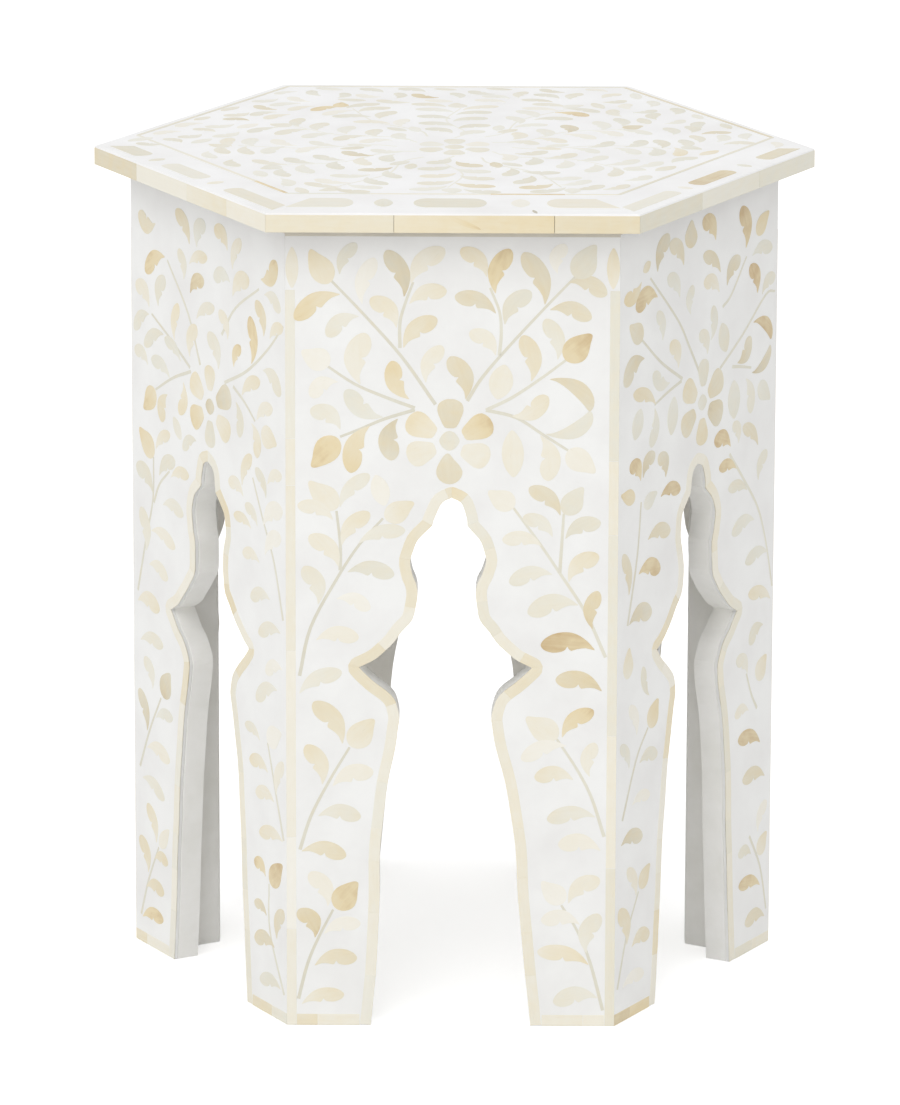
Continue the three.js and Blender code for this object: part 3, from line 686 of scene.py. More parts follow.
rightPanelLeaves = [
    # over the arch, left half
    (-66, 412, -85, 405, 10, "leafL", "goldAmber"), (-48, 400, -72, 398, 13, "leafR", "amberDeep"),
    (-48, 414, -35, 432, 12, "leafL", "umber"), (-19, 412, -35, 427, 11, "leafR", "umberGold"),
    (-12, 420, -9, 435, 14, "bud", "umberGold"), (-64, 417, -56, 421, 6, "oval", "gold"),
    (-64, 380, -78, 391, 12, "bud", "umberGold"), (-42, 375, -48, 392, 9, "leafR", "sage"),
    (-23, 395, -37, 409, 10, "leafR", "sage"), (-10, 383, -8, 399, 9, "leafL", "sage"),
    (-24, 356, -33, 372, 11, "leafR", "creamGold"), (-62, 369, -84, 358, 13, "leafR", "umber"),
    (-49, 341, -74, 351, 9, "leafR", "gold"), (-33, 350, -52, 359, 10, "leafL", "sage"),
    (-65, 342, -72, 326, 12, "oval", "sage"), (-50, 339, -54, 318, 10, "leafL", "sage"),
    (-28, 341, -31, 320, 12, "oval", "sage"),
    # over the arch, right half
    (17, 419, 2, 433, 12, "leafR", "amberDeep"), (23, 400, 3, 413, 9, "leafR", "umberGold"),
    (52, 408, 46, 432, 13, "leafR", "amberDeep"), (64, 414, 79, 423, 11, "bud", "goldAmber"),
    (31, 391, 46, 404, 11, "leafL", "umber"), (60, 402, 83, 402, 9, "leafL", "sage"),
    (66, 380, 57, 397, 11, "leafR", "amberDeep"), (22, 389, 4, 398, 10, "leafR", "creamGold"),
    (13, 364, 15, 383, 9, "leafR", "sage"), (9, 357, 0, 371, 10, "leafR", "creamSage"),
    (31, 354, 25, 371, 12, "oval", "umberPale"), (44, 345, 59, 357, 11, "leafR", "umber"),
    (62, 364, 84, 352, 10, "hornL", "brown"), (61, 336, 83, 346, 9, "hornR", "umber"),
    (72, 378, 87, 386, 9, "leafL", "umberPale"), (40, 336, 41, 314, 14, "oval", "sage"),
    (54, 334, 60, 313, 10, "leafL", "creamSage"), (69, 328, 82, 316, 11, "bud", "sage"),
    # beside the arch, left
    (-71, 293, -86, 299, 9, "bud", "goldAmber"), (-65, 302, -77, 313, 11, "leafR", "amberDeep"),
    (-62, 303, -49, 314, 10, "leafL", "umber"), (-37, 298, -45, 312, 11, "leafR", "umber"),
    (-42, 288, -20, 287, 9, "leafL", "brown"), (-61, 287, -46, 291, 9, "bud", "sage"),
    (-56, 267, -31, 266, 10, "leafL", "umberGold"), (-77, 241, -84, 265, 9, "leafR", "umberGold"),
    (-66, 250, -42, 247, 11, "leafL", "amberDeep"), (-76, 224, -51, 225, 12, "leafL", "umber"),
    (-78, 194, -75, 211, 11, "bud", "creamGold"), (-53, 179, -60, 197, 7, "leafL", "umberPale"),
    # beside the arch, right
    (37, 299, 18, 306, 11, "leafR", "amberDeep"), (44, 285, 24, 289, 8, "leafR", "amberDeep"),
    (46, 299, 40, 312, 9, "leafR", "creamSage"), (69, 293, 51, 307, 9, "leafR", "umberGold"),
    (57, 270, 35, 275, 8, "leafR", "umberPale"), (70, 273, 80, 288, 9, "leafL", "umberPale"),
    (66, 251, 40, 248, 10, "leafR", "sage"), (82, 229, 56, 228, 9, "leafR", "sage"),
    (86, 201, 60, 209, 9, "leafR", "creamGold"), (78, 188, 62, 180, 10, "leafR", "umberPale"),
    # left leg
    (-53, 161, -42, 174, 13, "bud", "goldAmber"), (-67, 160, -75, 178, 9, "leafR", "pale"),
    (-75, 143, -85, 158, 8, "leafR", "sage"), (-63, 143, -43, 143, 9, "leafL", "umberPale"),
    (-71, 121, -51, 122, 8, "leafL", "pale"), (-83, 101, -59, 100, 10, "leafL", "umber"),
    (-62, 72, -50, 82, 11, "bud", "gold"), (-66, 68, -76, 86, 9, "leafR", "cream"),
    (-76, 43, -85, 65, 12, "leafR", "gold"), (-70, 40, -50, 42, 10, "leafL", "gold"),
    (-80, 19, -56, 21, 9, "leafL", "pale"),
    # right leg
    (71, 158, 83, 169, 13, "bud", "creamGold"), (60, 164, 47, 175, 10, "leafR", "creamSage"),
    (62, 142, 46, 142, 8, "leafR", "cream"), (76, 120, 50, 127, 10, "leafR", "brown"),
    (82, 99, 56, 102, 10, "leafR", "umberGold"), (75, 68, 85, 84, 9, "leafL", "pale"),
    (67, 57, 52, 60, 8, "leafR", "umberPale"), (75, 55, 86, 65, 11, "bud", "creamGold"),
    (78, 36, 53, 41, 9, "leafR", "amberDeep"), (84, 16, 61, 17, 10, "leafR", "umberGold"),
    # rosette
    (-3, 335, -17, 344, 14, "petal", "gold"), (11, 334, 27, 342, 15, "petal", "umberGold"),
    (-4, 327, -19, 319, 14, "petal", "umberGold"), (11, 326, 27, 319, 15, "petal", "umber"),
    (4, 322, 4, 307, 13, "petal", "gold"), (5, 340, 5, 355, 12, "petal", "umberPale"),
    (-1, 331, 9, 331, 9, "oval", "sage"),
]
rightPanelStems = [
    [(-19, 349), (-43, 363), (-65, 380)], [(0, 349), (-12, 366), (-25, 383), (-56, 412)],
    [(24, 346), (50, 360), (76, 377), (87, 377)], [(26, 380), (36, 385), (53, 403)],
    [(38, 344), (48, 342), (60, 339)], [(-20, 348), (-35, 345), (-50, 341)],
    [(-78, 224), (-68, 260), (-64, 290)], [(36, 295), (53, 277), (70, 257), (80, 235), (88, 208)],
    [(-82, 115), (-67, 146), (-54, 161)], [(72, 141), (65, 151), (59, 164)],
    [(65, 68), (78, 47), (86, 20)], [(-86, 20), (-76, 48), (-63, 70)],
]


def buildInlay(index):
    name = sideNames[index]
    surface = sideFrame(index, stool["face"])
    shown = {0: (frontLeaves, frontStems), 1: (rightPanelLeaves, rightPanelStems),
             5: (leftPanelLeaves, leftPanelStems)}
    panelLeaves, panelStems = shown.get(index, shown[0])
    leaves = startBatch()
    for *leaf, toneName in panelLeaves:
        if index in shown:
            layLeaf(leaves, surface, leaf, toneName)
        else:
            layLeaf(leaves, surface, leaf, rng.choice(commonTones), tile["panelNudge"])
    finishPiece(name + "_inlay_leaves", leaves, [cutBone], "bone")
    stems = startBatch()
    for points in panelStems:
        layStem(stems, surface, points)
    finishPiece(name + "_inlay_stems", stems, [cutBone], "bone")


# The arch's edge from the floor to its point, as shares of half the opening and of its height
arch = {"height": 297.5 * mm, "footHalf": 43.5 * mm, "lining": 6 * mm, "steps": 3}
archShares = [
    [(1, 0), (0.915, 0.14), (0.868, 0.25), (0.83, 0.345), (0.76, 0.437), (0.665, 0.51), (0.585, 0.562),
     (0.568, 0.59), (0.612, 0.615), (0.735, 0.638), (0.9, 0.657), (1.06, 0.682)],
    [(1.06, 0.682), (0.86, 0.699), (0.69, 0.722), (0.54, 0.748), (0.415, 0.772), (0.372, 0.805),
     (0.382, 0.84), (0.435, 0.86), (0.46, 0.884), (0.428, 0.91), (0.335, 0.93), (0.205, 0.948)],
    [(0.205, 0.948), (0.178, 0.972), (0.11, 0.992), (0, 1)],
]
# How far each side's arch leans at two thirds of its height, where the lean's curve peaks
archLean = [-3.4 * mm, 1.2 * mm, -1.0 * mm, 1.6 * mm, -1.4 * mm, 1.0 * mm]
leanPeak = 27 / 4
# Ripples of its edge: turn from point to point, turn from side to side, and strength. They fade in over
# the lowest part of the height.
ripples = [(0.55, 1.7, 1.0), (1.3, 1.0, 0.6)]
wobble = 0.35 * mm
calmShare = 0.125


def archPath(index):
    # whole edge of one hand-cut arch, from its left foot over the point to its right foot
    half = []
    for shares in archShares:
        knots = [(x * arch["footHalf"], y * arch["height"]) for x, y in shares]
        curve = smoothCurve(knots, arch["steps"], False)
        half += curve if not half else curve[1:]
    path = [Vector((-p.x, p.y)) for p in half[:-1]] + half[::-1]
    for i, point in enumerate(path):
        up = point.y / arch["height"]
        lean = archLean[index] * leanPeak * up ** 2 * (1 - up)
        ripple = sum(share * math.sin(i * along + index * beside) for along, beside, share in ripples)
        point.x += lean + wobble * ripple * min(up / calmShare, 1)
    return path


archPaths = [archPath(index) for index in range(len(sideNames))]


def clampToMitre(bm, out):
    # brings a plate's or strip's ends in to the mitre with the next side
    for vert in bm.verts:
        limit = (out + vert.co.z) * math.tan(mitre) - stool["mitreGap"]
        vert.co.x = max(min(vert.co.x, limit), -limit)


def rectangle(left, low, right, high):
    return [Vector((left, low)), Vector((right, low)), Vector((right, high)), Vector((left, high))]


def plateMesh(name, index, out, thickness, softEdge, topGap=0.0):
    # a panel's outline with its arch, in the side's own frame with its face at zero
    half = out * math.tan(mitre) + thickness
    high = stool["panelTop"] - topGap
    leftFoot, *others = rectangle(-half, 0, half, high)
    bm = openTile(cutTile(name, archPaths[index] + others + [leftFoot], under=thickness, proud=0,
                          softEdge=softEdge))
    clampToMitre(bm, out)
    return bm


# Softened edges, and the gap under the top, wider on the front, with a taupe strip in it that is darker than
# the resin
panel = {
    "resinEdge": 0.35 * mm, "boardEdge": 0.5 * mm, "insideNormal": -0.9, "frontGap": 5.0 * mm,
    "sideGap": 3.6 * mm, "underTopStripLap": 0.4 * mm, "underTopStripProud": 0.05 * mm,
}


def buildPanel(index):
    name = sideNames[index]
    out, boardOut = stool["face"], stool["boardFace"]
    gap = panel["sideGap"] if index else panel["frontGap"]
    resinPlate = plateMesh(name, index, out, stool["layer"], panel["resinEdge"], gap)
    half = out * math.tan(mitre) + overrun
    high = stool["panelTop"]
    strip = rectangle(-half, high - gap - panel["underTopStripLap"], half, high)
    underTopStrip = openTile(cutTile("underTopStrip", strip, under=stool["layer"], proud=panel["underTopStripProud"]))
    clampToMitre(underTopStrip, out)
    board = plateMesh(name, index, boardOut, boardOut - stool["boardBack"], panel["boardEdge"])
    for face in board.faces:
        face.material_index = 1 if face.normal.z < panel["insideNormal"] else 0
    for bm, place in ((resinPlate, out), (underTopStrip, out), (board, boardOut)):
        bmesh.ops.transform(bm, matrix=sideFrame(index, place), verts=bm.verts)
    finishPiece(name + "_resin", resinPlate, [clouded["whiteResin"]], "resin", name + "_resin_face")
    finishPiece(name + "_under_top_strip", underTopStrip, [clouded["underTopStripPaint"]], "painted_wood")
    # the board's white paint is made paler as painted light, to lift the shade inside the stool
    finishPiece(name + "_board", board, [clouded["edgePaintLiftedByPaintedLight"], clouded["insidePaintLiftedByPaintedLight"]], "painted_wood",
                name + "_panel_board")


# Bone lining along the arch: short pieces, with joints in the notches
lining = {"piece": 21 * mm, "shortestShare": 0.7, "longestShare": 1.35, "notchTurn": 0.35, "cornerSteps": 4}
liningTones = ["cream", "creamGold", "creamSage", "cream", "goldCream", "cream", "creamSage", "gold", "blush"]


def roundCorner(path, i, width):
    # the outside of a strip where it bends round a notch
    ahead = (path[i + 1] - path[i]).normalized()
    behind = (path[i] - path[i - 1]).normalized()
    first, second = Vector((-behind.y, behind.x)), Vector((-ahead.y, ahead.x))
    steps = lining["cornerSteps"]
    sides = [first.lerp(second, step / steps) for step in range(steps + 1)]
    return [path[i] + side.normalized() * width for side in sides]


def buildLining(index):
    name = sideNames[index]
    surface = sideFrame(index, stool["face"])
    path = archPaths[index]
    outer = [p - s * arch["lining"] for p, s in zip(path, offsets(path))]
    batch = startBatch()
    first = 0
    startCap = [outer[0]]
    while first < len(path) - 1:
        last, run = first, 0.0
        wanted = lining["piece"] * rng.uniform(lining["shortestShare"], lining["longestShare"])
        while last < len(path) - 1:
            run += (path[last + 1] - path[last]).length
            last += 1
            ahead = path[min(last + 1, len(path) - 1)] - path[last]
            turn = (path[last] - path[last - 1]).angle_signed(ahead, 0)
            if abs(turn) > lining["notchTurn"] or run > wanted:
                break
        endCap = nextCap = [outer[last]]
        if turn > lining["notchTurn"]:
            corner = roundCorner(path, last, arch["lining"])
            middle = lining["cornerSteps"] // 2
            endCap, nextCap = corner[:middle + 1], corner[middle:]
        outline = startCap + outer[first + 1:last] + endCap + path[first:last + 1][::-1]
        startCap = nextCap
        mesh = cutTile("lining", outline[::-1], softEdge=tile["softEdge"])
        along = path[last] - path[first]
        turnGrain = -math.atan2(along.y, along.x)
        layTile(batch, mesh, surface, rng.choice(liningTones), unitLength, turnGrain)
        bpy.data.meshes.remove(mesh)
        first = last
    finishPiece(name + "_lining", batch, [cutBone], "bone", name + "_arch_lining")


# Bone strips up the corners and along the feet
strips = {
    "cornerWidth": 5.2 * mm, "cornerTop": 411.7 * mm, "footHeight": 6.3 * mm, "footJointShares": (0.4, 0.7),
    "gap": 0.2 * mm, "jointShift": 12, "toneLength": 72 * mm,
}
# Joints of the left and right corner strip, in millimetres up, and the tones between them
cornerStrips = {
    -1: ([0, 55, 107, 212, 304, 330], ["cream", "pale", "blush", "creamGold", "cream", "creamSage"]),
    1: ([0, 90, 165, 277, 318], ["creamSage", "blush", "creamSage", "cream", "umberPale"]),
}
leafOval = {"low": 412.5, "high": 435, "width": 7, "gap": 0.2}
cornerKnot = (-86.8, 331, -86.8, 344, 2.8, "oval")
# Tones of a foot strip's two pieces, by side and hand, the one next to the arch first
footTones = {
    (0, -1): ["cream", "gold"], (0, 1): ["cream", "blush"], (1, -1): ["amber", "amberGold"],
    (1, 1): ["creamSage", "cream"], (5, -1): ["creamGold", "gold"], (5, 1): ["gold", "umberPale"],
}


def layStrip(batch, surface, out, outline, toneName, turnGrain, under):
    mesh = cutTile("strip", outline, under=under, softEdge=tile["softEdge"])
    bm = bmesh.new()
    bm.from_mesh(mesh)
    clampToMitre(bm, out)
    bm.to_mesh(mesh)
    bm.free()
    layTile(batch, mesh, surface, toneName, strips["toneLength"], turnGrain)
    bpy.data.meshes.remove(mesh)


def buildStrips(index):
    name = sideNames[index]
    out = stool["face"]
    surface = sideFrame(index, out)
    corner = out * math.tan(mitre)
    striped = index % 2 == 0
    if striped:
        batch = startBatch()
        for hand in (-1, 1):
            places, tones = cornerStrips[hand]
            if index:
                shift = strips["jointShift"]
                places = [0] + [z + rng.uniform(-shift, shift) for z in places[1:]]
                tones = [rng.choice(liningTones) for z in places]
            joints = [z * mm for z in places] + [strips["cornerTop"]]
            for low, high, tone in zip(joints, joints[1:], tones):
                inner, outer = sorted((hand * (corner - strips["cornerWidth"]), hand * (corner + overrun)))
                outline = rectangle(inner, low, outer, high - strips["gap"])
                layStrip(batch, surface, out, outline, tone, math.pi / 2, stool["layer"])
        finishPiece(name + "_corner_strips", batch, [cutBone], "bone",
                    name + "_corner_strip_left", name + "_corner_strip_right")
        ovals = startBatch()
        for hand in (-1, 1):
            place = hand * (corner / mm - leafOval["width"] / 2 - leafOval["gap"])
            oval = (place, leafOval["low"], place, leafOval["high"], leafOval["width"], "oval")
            layLeaf(ovals, surface, oval, "cream" if hand < 0 else "blushGold")
        if index == 0:
            layLeaf(ovals, surface, cornerKnot, "umber")
        finishPiece(name + "_corner_leaves", ovals, [cutBone], "bone")
    feet = startBatch()
    reach = corner - strips["cornerWidth"] - strips["gap"] if striped else corner + overrun
    footSteps = offsets(archPaths[index])
    for hand in (-1, 1):
        foot = archPaths[index][0 if hand < 0 else -1]
        step = footSteps[0 if hand < 0 else -1]
        inner = abs((foot - step * (arch["lining"] + strips["gap"])).x)
        middle = inner + (reach - inner) * rng.uniform(*strips["footJointShares"])
        tones = footTones.get((index, hand), rng.sample(liningTones, 2))
        for near, far, tone in ((inner, middle - strips["gap"], tones[0]), (middle, reach, tones[1])):
            left, right = sorted((hand * near, hand * far))
            outline = rectangle(left, 0, right, strips["footHeight"])
            layStrip(feet, surface, out, outline, tone, 0, tile["under"])
    finishPiece(name + "_foot_strips", feet, [cutBone], "bone",
                name + "_foot_strip_left", name + "_foot_strip_right")


# Top: resin plate, bone edge bands, a row of bars and dots, a thin line and a field of leaves
top = {
    "plate": 1.0 * mm, "inset": 0.1 * mm, "softEdge": 0.35 * mm, "barEndShare": 0.32, "barSteps": 8,
    "barReach": 200, "barToneLength": 40 * mm, "dotShares": (0.9, 0.46), "mitreInset": 1.2 * mm,
    "lineWidth": 2.2 * mm, "lineToneLength": 60 * mm, "stemShare": 0.65, "accentReach": 10,
}
# Joints of the edge bands, as shares of half an edge, and the tones between them
edgeBandShares = [
    ([-0.31, 0.54], ["gold", "goldAmber", "gold"]), ([-0.3, 0.35], ["umberPale", "creamSage", "umberPale"]),
    ([-0.5, 0.05, 0.5], ["cream", "goldCream", "creamGold", "cream"]),
    ([-0.4, 0.3], ["creamGold", "cream", "goldCream"]),
    ([-0.55, 0.0, 0.45], ["creamSage", "cream", "gold", "cream"]),
    ([-0.49, 0.1, 0.55], ["umberGold", "cream", "creamGold", "blush"]),
]
edgeStreak = (-3, 455.5, 15, 448.5, 3, "oval")
edgeKnot = (44.5, -170, 42.5, -162, 2.2, "oval")
# The thin line along each edge, in millimetres out from the centre; at the back it runs beside the edge
lineOuts = [122.5, 138, 166.5, 166.5, 166, 138]
lineTones = {1: "umberPale", 2: "umberGold", 4: "umberPale"}
plainLineTones = ["cream", "pale", "sage", "creamSage"]
# Its darker stretches, in millimetres across, and the joints where it has none
lineAccents = {0: (20, 60), 5: (26, 60)}
lineJoints = (-12, 48)
# Bars and dots along the front edges, in millimetres: middle of the row out from the centre, its width,
# then across it the first bar's end, a dot, the middle bar's ends, a dot, and the last bar's start
barRows = {
    0: (145, 22, -53, -37, -21, 18, 36, 50), 1: (160, 10.5, -39, -28, -18, 23, 39, 59),
    5: (159, 11.5, -62, -49, -36, 6, 19, 36),
}
barTones = {
    0: ["creamSage", "umberPale", "cream", "sage", "pale"],
    1: ["creamSage", "amberGold", "umberGold", "pale", "sage"],
    5: ["umberPale", "creamSage", "creamSage", "umberPale", "cream"],
}
# Leaves of one sixth of the field, across from its middle and out from the centre
fieldLeaves = [
    (-3, 31, -16, 44, 10, "leafL"), (2, 38, 17, 50, 10, "leafR"), (-2, 50, -20, 59, 10, "leafL"),
    (0, 57, 20, 65, 10, "leafR"), (1, 69, -19, 77, 10, "leafL"), (3, 75, 22, 83, 10, "leafR"),
    (0, 88, -20, 95, 10, "leafL"), (1, 94, 23, 102, 10, "leafR"), (-1, 107, -1, 120, 11, "bud"),
    (-4, 102, -24, 112, 9, "leafL"), (5, 110, 25, 117, 9, "leafR"), (21, 40, 24, 54, 7, "oval"),
    (30, 56, 27, 76, 9, "leafL"), (42, 76, 33, 96, 10, "leafL"), (54, 95, 36, 106, 10, "leafL"),
    (61, 105, 42, 117, 9, "leafL"), (65, 107, 63, 120, 9, "bud"), (-23, 44, -25, 58, 7, "oval"),
    (-36, 63, -29, 83, 9, "leafR"), (-46, 81, -35, 100, 10, "leafR"), (-57, 99, -37, 107, 9, "leafR"),
    (-63, 110, -44, 119, 9, "leafR"),
]
outerLeaves = [
    (-55, 124, -37, 130, 8, "leafR"), (-29, 123, -11, 129, 9, "leafR"), (2, 125, 18, 129, 8, "oval"),
    (26, 123, 45, 129, 9, "leafL"), (51, 126, 67, 129, 7, "oval"),
]
# Further leaves towards the back edges, which have no bars
backLeaves = [
    (-66, 133, -72, 150, 9, "leafL"), (-58, 134, -44, 146, 9, "leafR"), (-36, 137, -40, 154, 8, "leafL"),
    (-30, 134, -14, 141, 9, "leafR"), (-22, 146, -7, 154, 9, "leafL"), (-2, 134, 2, 149, 8, "leafR"),
    (10, 136, 25, 146, 9, "leafL"), (18, 152, 34, 160, 9, "leafR"), (34, 134, 33, 149, 8, "leafR"),
    (42, 138, 56, 145, 9, "leafL"), (67, 135, 64, 149, 8, "leafR"), (76, 140, 81, 155, 8, "leafL"),
    (-86, 153, -73, 160, 7, "leafR"), (-62, 152, -48, 161, 8, "leafL"), (-32, 159, -17, 162, 6, "oval"),
    (-1, 158, 12, 161, 6, "oval"), (42, 151, 56, 160, 8, "leafR"), (64, 156, 80, 162, 7, "oval"),
]
fieldStems = [[(0, 24), (-6, 40), (5, 72), (-3, 106)], [(15, 28), (20, 44), (45, 68), (58, 104)]]
fieldTones = spread(mist=8, pale=4, cream=2, sage=7, creamSage=5, umberPale=3)
# Rosette in the middle: the petal of each sixth, and an oval over them
centrePetal = (0, -8, 0, -21, 12, "petal")
petalTones = ["mist", "pale", "creamSage"]
centreOval = (-5.5, 0, 5.5, 0, 11, "oval")
# Darker leaves of the field, by where they lie on the top
topAccents = [
    (58, 93, "amber"), (12, 22, "amberGold"), (-72, 113, "amber"), (-14, 141, "amberGold"),
    (141, 38, "umberGold"), (-38, -62, "umber"), (17, -44, "umberGold"), (30, -65, "umberPale"),
    (83, -80, "umber"),
    (-125, 74, "umber"), (-80, -80, "umber"), (45, -102, "gold"), (14, -100, "gold"), (-25, -93, "blushGold"),
    (-105, 107, "umberGold"), (-125, 45, "umber"), (-52, -20, "umber"), (-128, -38, "goldAmber"),
    (105, 52, "umberGold"), (-50, 112, "umberPale"), (130, -13, "blushGold"), (60, 42, "umber"),
]


def hexagonOutline(out):
    radius = out / math.cos(mitre)
    turns = [k * sideTurn for k in range(len(sideNames))]
    return [Vector((radius * math.cos(turn), radius * math.sin(turn))) for turn in turns]


def barOutline(low, high, out, width):
    # a bar with round ends, or cut to the mitre where it reaches the corner
    near, far = out - width / 2, out + width / 2
    limits = [level * math.tan(mitre) - top["mitreInset"] for level in (near, far)]
    points = []
    for end, sign in ((high, 1), (low, -1)):
        if abs(end) > min(limits):
            pair = [Vector((sign * limits[0], -near)), Vector((sign * limits[1], -far))]
            points += pair if sign < 0 else pair[::-1]
        else:
            for k in range(top["barSteps"] + 1):
                turn = math.pi * k / top["barSteps"] * sign
                across = end - sign * (1 - math.sin(abs(turn))) * top["barEndShare"] * width
                points.append(Vector((across, -out - sign * math.cos(turn) * width / 2)))
    return points


def layOutline(batch, outline, surface, toneName, length):
    mesh = cutTile("cut", outline)
    layTile(batch, mesh, surface, toneName, length)
    bpy.data.meshes.remove(mesh)


def layBars(border, index):
    surface = topFrame(index)
    out, width, firstEnd, dotA, middleStart, middleEnd, dotB, lastStart = barRows[index]
    reach = top["barReach"]
    bars = ((-reach, firstEnd), (middleStart, middleEnd), (lastStart, reach))
    for (low, high), tone in zip(bars, barTones[index]):
        outline = barOutline(low * mm, high * mm, out * mm, width * mm)
        layOutline(border, outline, surface, tone, top["barToneLength"])
    length, thick = [share * width for share in top["dotShares"]]
    for place, tone in zip((dotA, dotB), barTones[index][len(bars):]):
        dot = (place, length / 2 - out, place, -length / 2 - out, thick, "oval")
        layLeaf(border, surface, dot, tone)


def layLine(lines, index):
    # the thin line of one edge, between the lines of the edges beside it
    out = lineOuts[index] * mm
    surface = topFrame(index)
    reaches = []
    for beside in (index - 1, (index + 1) % len(sideNames)):
        other = lineOuts[beside] * mm
        reaches.append((other - out * math.cos(sideTurn)) / math.sin(sideTurn))
    thick = top["lineWidth"]
    accent = lineAccents.get(index, lineJoints)
    cuts = [-reaches[0], -reaches[0] / 2, accent[0] * mm, accent[1] * mm, reaches[1]]
    for piece, (low, high) in enumerate(zip(cuts, cuts[1:])):
        outline = rectangle(low, -out - thick / 2, high - strips["gap"], -out + thick / 2)
        tone = lineTones.get(index, rng.choice(plainLineTones))
        if piece == 2 and index in lineAccents:
            tone = "amber"
        layOutline(lines, outline, surface, tone, top["lineToneLength"])


def fieldTone(surface, leaf):
    baseX, baseY, tipX, tipY = leaf[:4]
    spot = surface @ Vector(((baseX + tipX) / 2 * mm, (baseY + tipY) / 2 * mm, 0))
    choice = rng.choice(fieldTones)
    for x, y, tone in topAccents:
        if math.hypot(spot.x / mm - x, spot.y / mm - y) < top["accentReach"]:
            choice = tone
    return choice


def layField(leaves, stems, index):
    surface = topFrame(index)
    further = (outerLeaves if index else []) + (backLeaves if index not in barRows else [])
    for baseX, baseOut, tipX, tipOut, width, kind in fieldLeaves + further:
        leaf = (baseX, -baseOut, tipX, -tipOut, width, kind)
        layLeaf(leaves, surface, leaf, fieldTone(surface, leaf), tile["topNudge"])
    layLeaf(leaves, surface, centrePetal, rng.choice(petalTones))
    for points in fieldStems:
        layStem(stems, surface, [(x, -y) for x, y in points], top["stemShare"], "mist")


def buildTop():
    plate = openTile(cutTile("topPlate", hexagonOutline(stool["topFace"] - top["inset"]), under=top["plate"],
                             proud=0, softEdge=top["softEdge"]))
    bmesh.ops.transform(plate, matrix=topFrame(), verts=plate.verts)
    finishPiece("top_resin", plate, [clouded["topResinPaintedLight"]], "resin", "top_inlay_face")
    batches = {name: startBatch() for name in ("border_bars", "border_lines", "field_leaves", "field_stems")}
    border, lines, leaves, stems = batches.values()
    for index, name in enumerate(sideNames):
        if index in barRows:
            layBars(border, index)
        layLine(lines, index)
        layField(leaves, stems, index)
        edge = startBatch()
        out = stool["topFace"]
        surface = sideFrame(index, out)
        reach = out * math.tan(mitre) + overrun
        places, tones = edgeBandShares[index]
        joints = [-1] + places + [1]
        for low, high, tone in zip(joints, joints[1:], tones):
            outline = rectangle(low * reach, stool["topUnder"], high * reach - strips["gap"],
                                stool["topHeight"] - top["plate"])
            layStrip(edge, surface, out, outline, tone, 0, stool["layer"])
        if index == 0:
            layLeaf(edge, surface, edgeStreak, "goldAmber")
        finishPiece(name + "_edge_band", edge, [cutBone], "bone", name + "_top_edge")
    layLeaf(border, topFrame(), edgeKnot, "knot")
    layLeaf(leaves, topFrame(), centreOval, "creamSage")
    for name, batch in batches.items():
        finishPiece("top_" + name, batch, [cutBone], "bone")


# Posts in the inner corners, which show through the side arches, from the floor to the blocks under the top
post = {"side": 20 * mm, "depth": 22.5 * mm, "seat": 0.3 * mm, "softEdge": 0.8 * mm}


def buildPost(index):
    # drawn with its corner towards -Y, then turned to the corner after this side
    name = sideNames[index] + "_to_" + sideNames[(index + 1) % len(sideNames)]
    corner = Vector((0, -(stool["boardBack"] - post["seat"]) / math.cos(mitre)))
    right = corner + Matrix.Rotation(-sideTurn, 2) @ Vector((0, post["side"]))
    inner = right + Matrix.Rotation(mitre, 2) @ Vector((0, post["depth"]))
    outline = [corner, right, inner, Vector((-inner.x, inner.y)), Vector((-right.x, right.y))]
    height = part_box(name + "_corner_block")[0].z - post["seat"]
    bm = bmesh.new()
    raiseOutline(bm, outline, 0, height)
    upright = [edge for edge in bm.edges if edge.calc_length() > height / 2]
    bmesh.ops.bevel(bm, geom=upright, offset=post["softEdge"], offset_type="OFFSET", affect="EDGES",
                    segments=2, profile=0.5, material=-1)
    bmesh.ops.recalc_face_normals(bm, faces=bm.faces)
    bmesh.ops.transform(bm, matrix=Matrix.Rotation(index * sideTurn + mitre, 4, "Z"), verts=bm.verts)
    finishPiece(name + "_corner_post", bm, [clouded["edgePaintLiftedByPaintedLight"]], "painted_wood")


for sideIndex in range(len(sideNames)):
    buildPanel(sideIndex)
    buildPost(sideIndex)
    buildLining(sideIndex)
    buildStrips(sideIndex)
    buildInlay(sideIndex)
print("side panels built")
buildTop()
print("top built")

# CAD nodes that stay
keptLooks = {
    "top_board": clouded["underPaint"], "corner_block": sawnWood, "top_screw": clouded["zincSteel"],
}
for nodeName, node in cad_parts.items():
    for part, material in keptLooks.items():
        if part in nodeName:
            for materialSlot in node.material_slots:
                materialSlot.material = material


# Floor, light and camera
studio = {
    "floorSize": 14, "floorDrop": 0.2 * mm, "floorColour": (243, 243, 243), "floorRoughness": 0.9,
    "floorWhite": 0.5, "world": 0.75, "aim": (0, 0, 0.25),
}
lamps = {
    "key": {"energy": 65, "size": 3.0, "place": (-1.05, -3.25, 4.55)},
    "fill": {"energy": 18, "size": 2.0, "place": (-1.3, -4.4, 1.3)},
}
camera = {
    "place": (0.0211, -4.1738, 1.3338), "yaw": -0.0055, "down": 0.2594, "roll": 0.0028, "lens": 252.2,
    "sensor": 36, "farthest": 60,
}


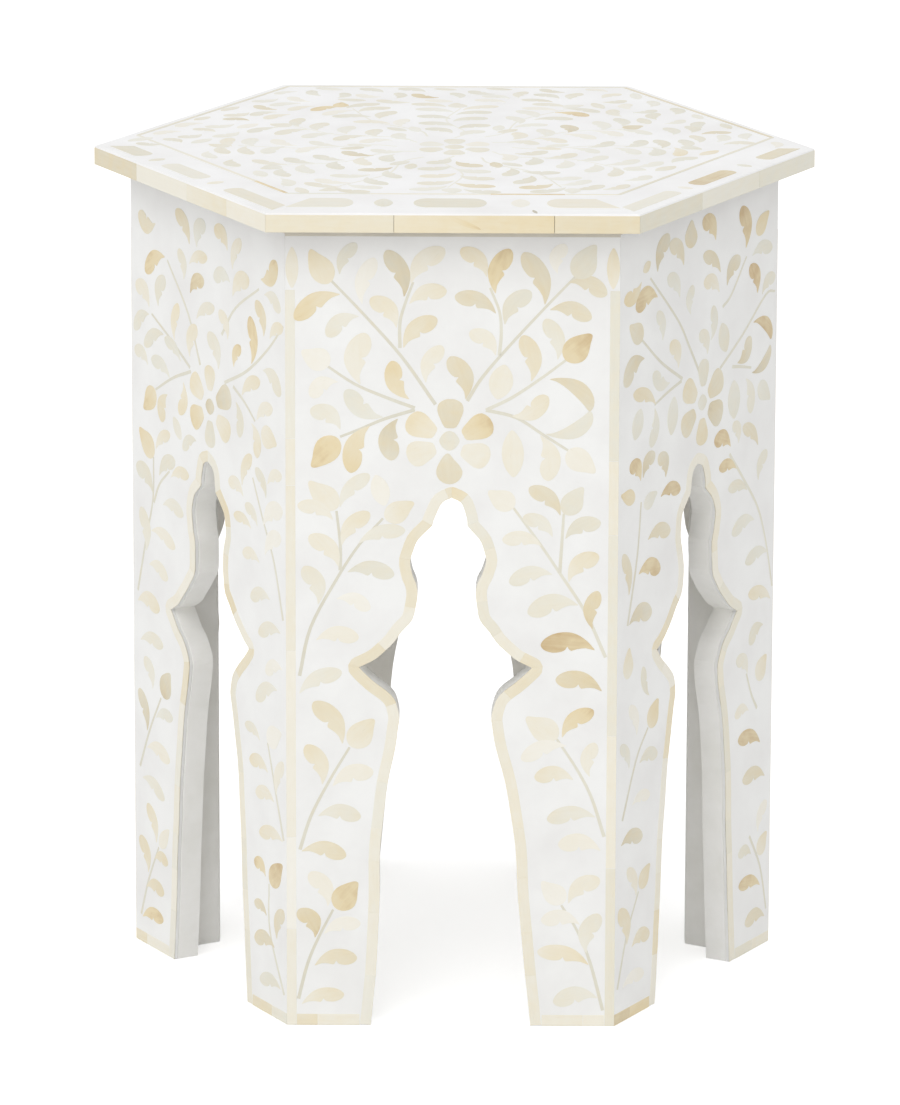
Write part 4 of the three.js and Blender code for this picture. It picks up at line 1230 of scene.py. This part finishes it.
def seenDirectly(tree):
    # 1 for rays from the camera, and for those that polish or glass sends on
    path = tree.nodes.new("ShaderNodeLightPath")
    seen = path.outputs["Is Camera Ray"]
    for name in ("Is Glossy Ray", "Is Transmission Ray"):
        either = addNode(tree, "ShaderNodeMath", operation="MAXIMUM")
        tree.links.new(seen, either.inputs[0])
        tree.links.new(path.outputs[name], either.inputs[1])
        seen = either.outputs["Value"]
    return seen


def buildFloor():
    bm = bmesh.new()
    bmesh.ops.create_grid(bm, x_segments=1, y_segments=1, size=studio["floorSize"] / 2)
    mesh = bpy.data.meshes.new("floor")
    bm.to_mesh(mesh)
    bm.free()
    floor = bpy.data.objects.new("floor", mesh)
    floor.location.z = -studio["floorDrop"]
    bpy.context.scene.collection.objects.link(floor)
    material, tree, shader = newMaterial("paleFloor")
    shader.inputs["Base Color"].default_value = linear(*studio["floorColour"])
    shader.inputs["Roughness"].default_value = studio["floorRoughness"]
    seen = seenDirectly(tree)
    lift = addNode(tree, "ShaderNodeMath", operation="MULTIPLY")
    lift.inputs[1].default_value = studio["floorWhite"]
    tree.links.new(seen, lift.inputs[0])
    shader.inputs["Emission Color"].default_value = (1, 1, 1, 1)
    tree.links.new(lift.outputs["Value"], shader.inputs["Emission Strength"])
    mesh.materials.append(material)


def buildLight():
    world = bpy.data.worlds.new("studio")
    bpy.context.scene.world = world
    world.use_nodes = True
    tree = world.node_tree
    shader = tree.nodes["Background"]
    seen = seenDirectly(tree)
    strength = addNode(tree, "ShaderNodeMapRange", To_Min=studio["world"], To_Max=1.0)
    tree.links.new(seen, strength.inputs["Value"])
    shader.inputs["Color"].default_value = (1, 1, 1, 1)
    tree.links.new(strength.outputs["Result"], shader.inputs["Strength"])
    for name, lamp in lamps.items():
        data = bpy.data.lights.new(name, "AREA")
        data.energy = lamp["energy"]
        data.size = lamp["size"]
        light = bpy.data.objects.new(name, data)
        light.location = lamp["place"]
        aim = Vector(studio["aim"]) - light.location
        light.rotation_euler = aim.to_track_quat("-Z", "Y").to_euler()
        bpy.context.scene.collection.objects.link(light)


def buildCamera():
    data = bpy.data.cameras.new("camera")
    data.sensor_fit = "VERTICAL"
    data.sensor_height = camera["sensor"]
    data.lens = camera["lens"]
    data.clip_end = camera["farthest"]
    eye = bpy.data.objects.new("camera", data)
    turn = Matrix.Rotation(-camera["yaw"], 4, "Z") @ Matrix.Rotation(math.pi / 2 - camera["down"], 4, "X")
    eye.matrix_world = Matrix.Translation(camera["place"]) @ turn @ Matrix.Rotation(camera["roll"], 4, "Z")
    bpy.context.scene.collection.objects.link(eye)
    bpy.context.scene.camera = eye


buildFloor()
buildLight()
buildCamera()
bpy.context.scene.view_settings.view_transform = "Standard"
print("floor, light and camera set")
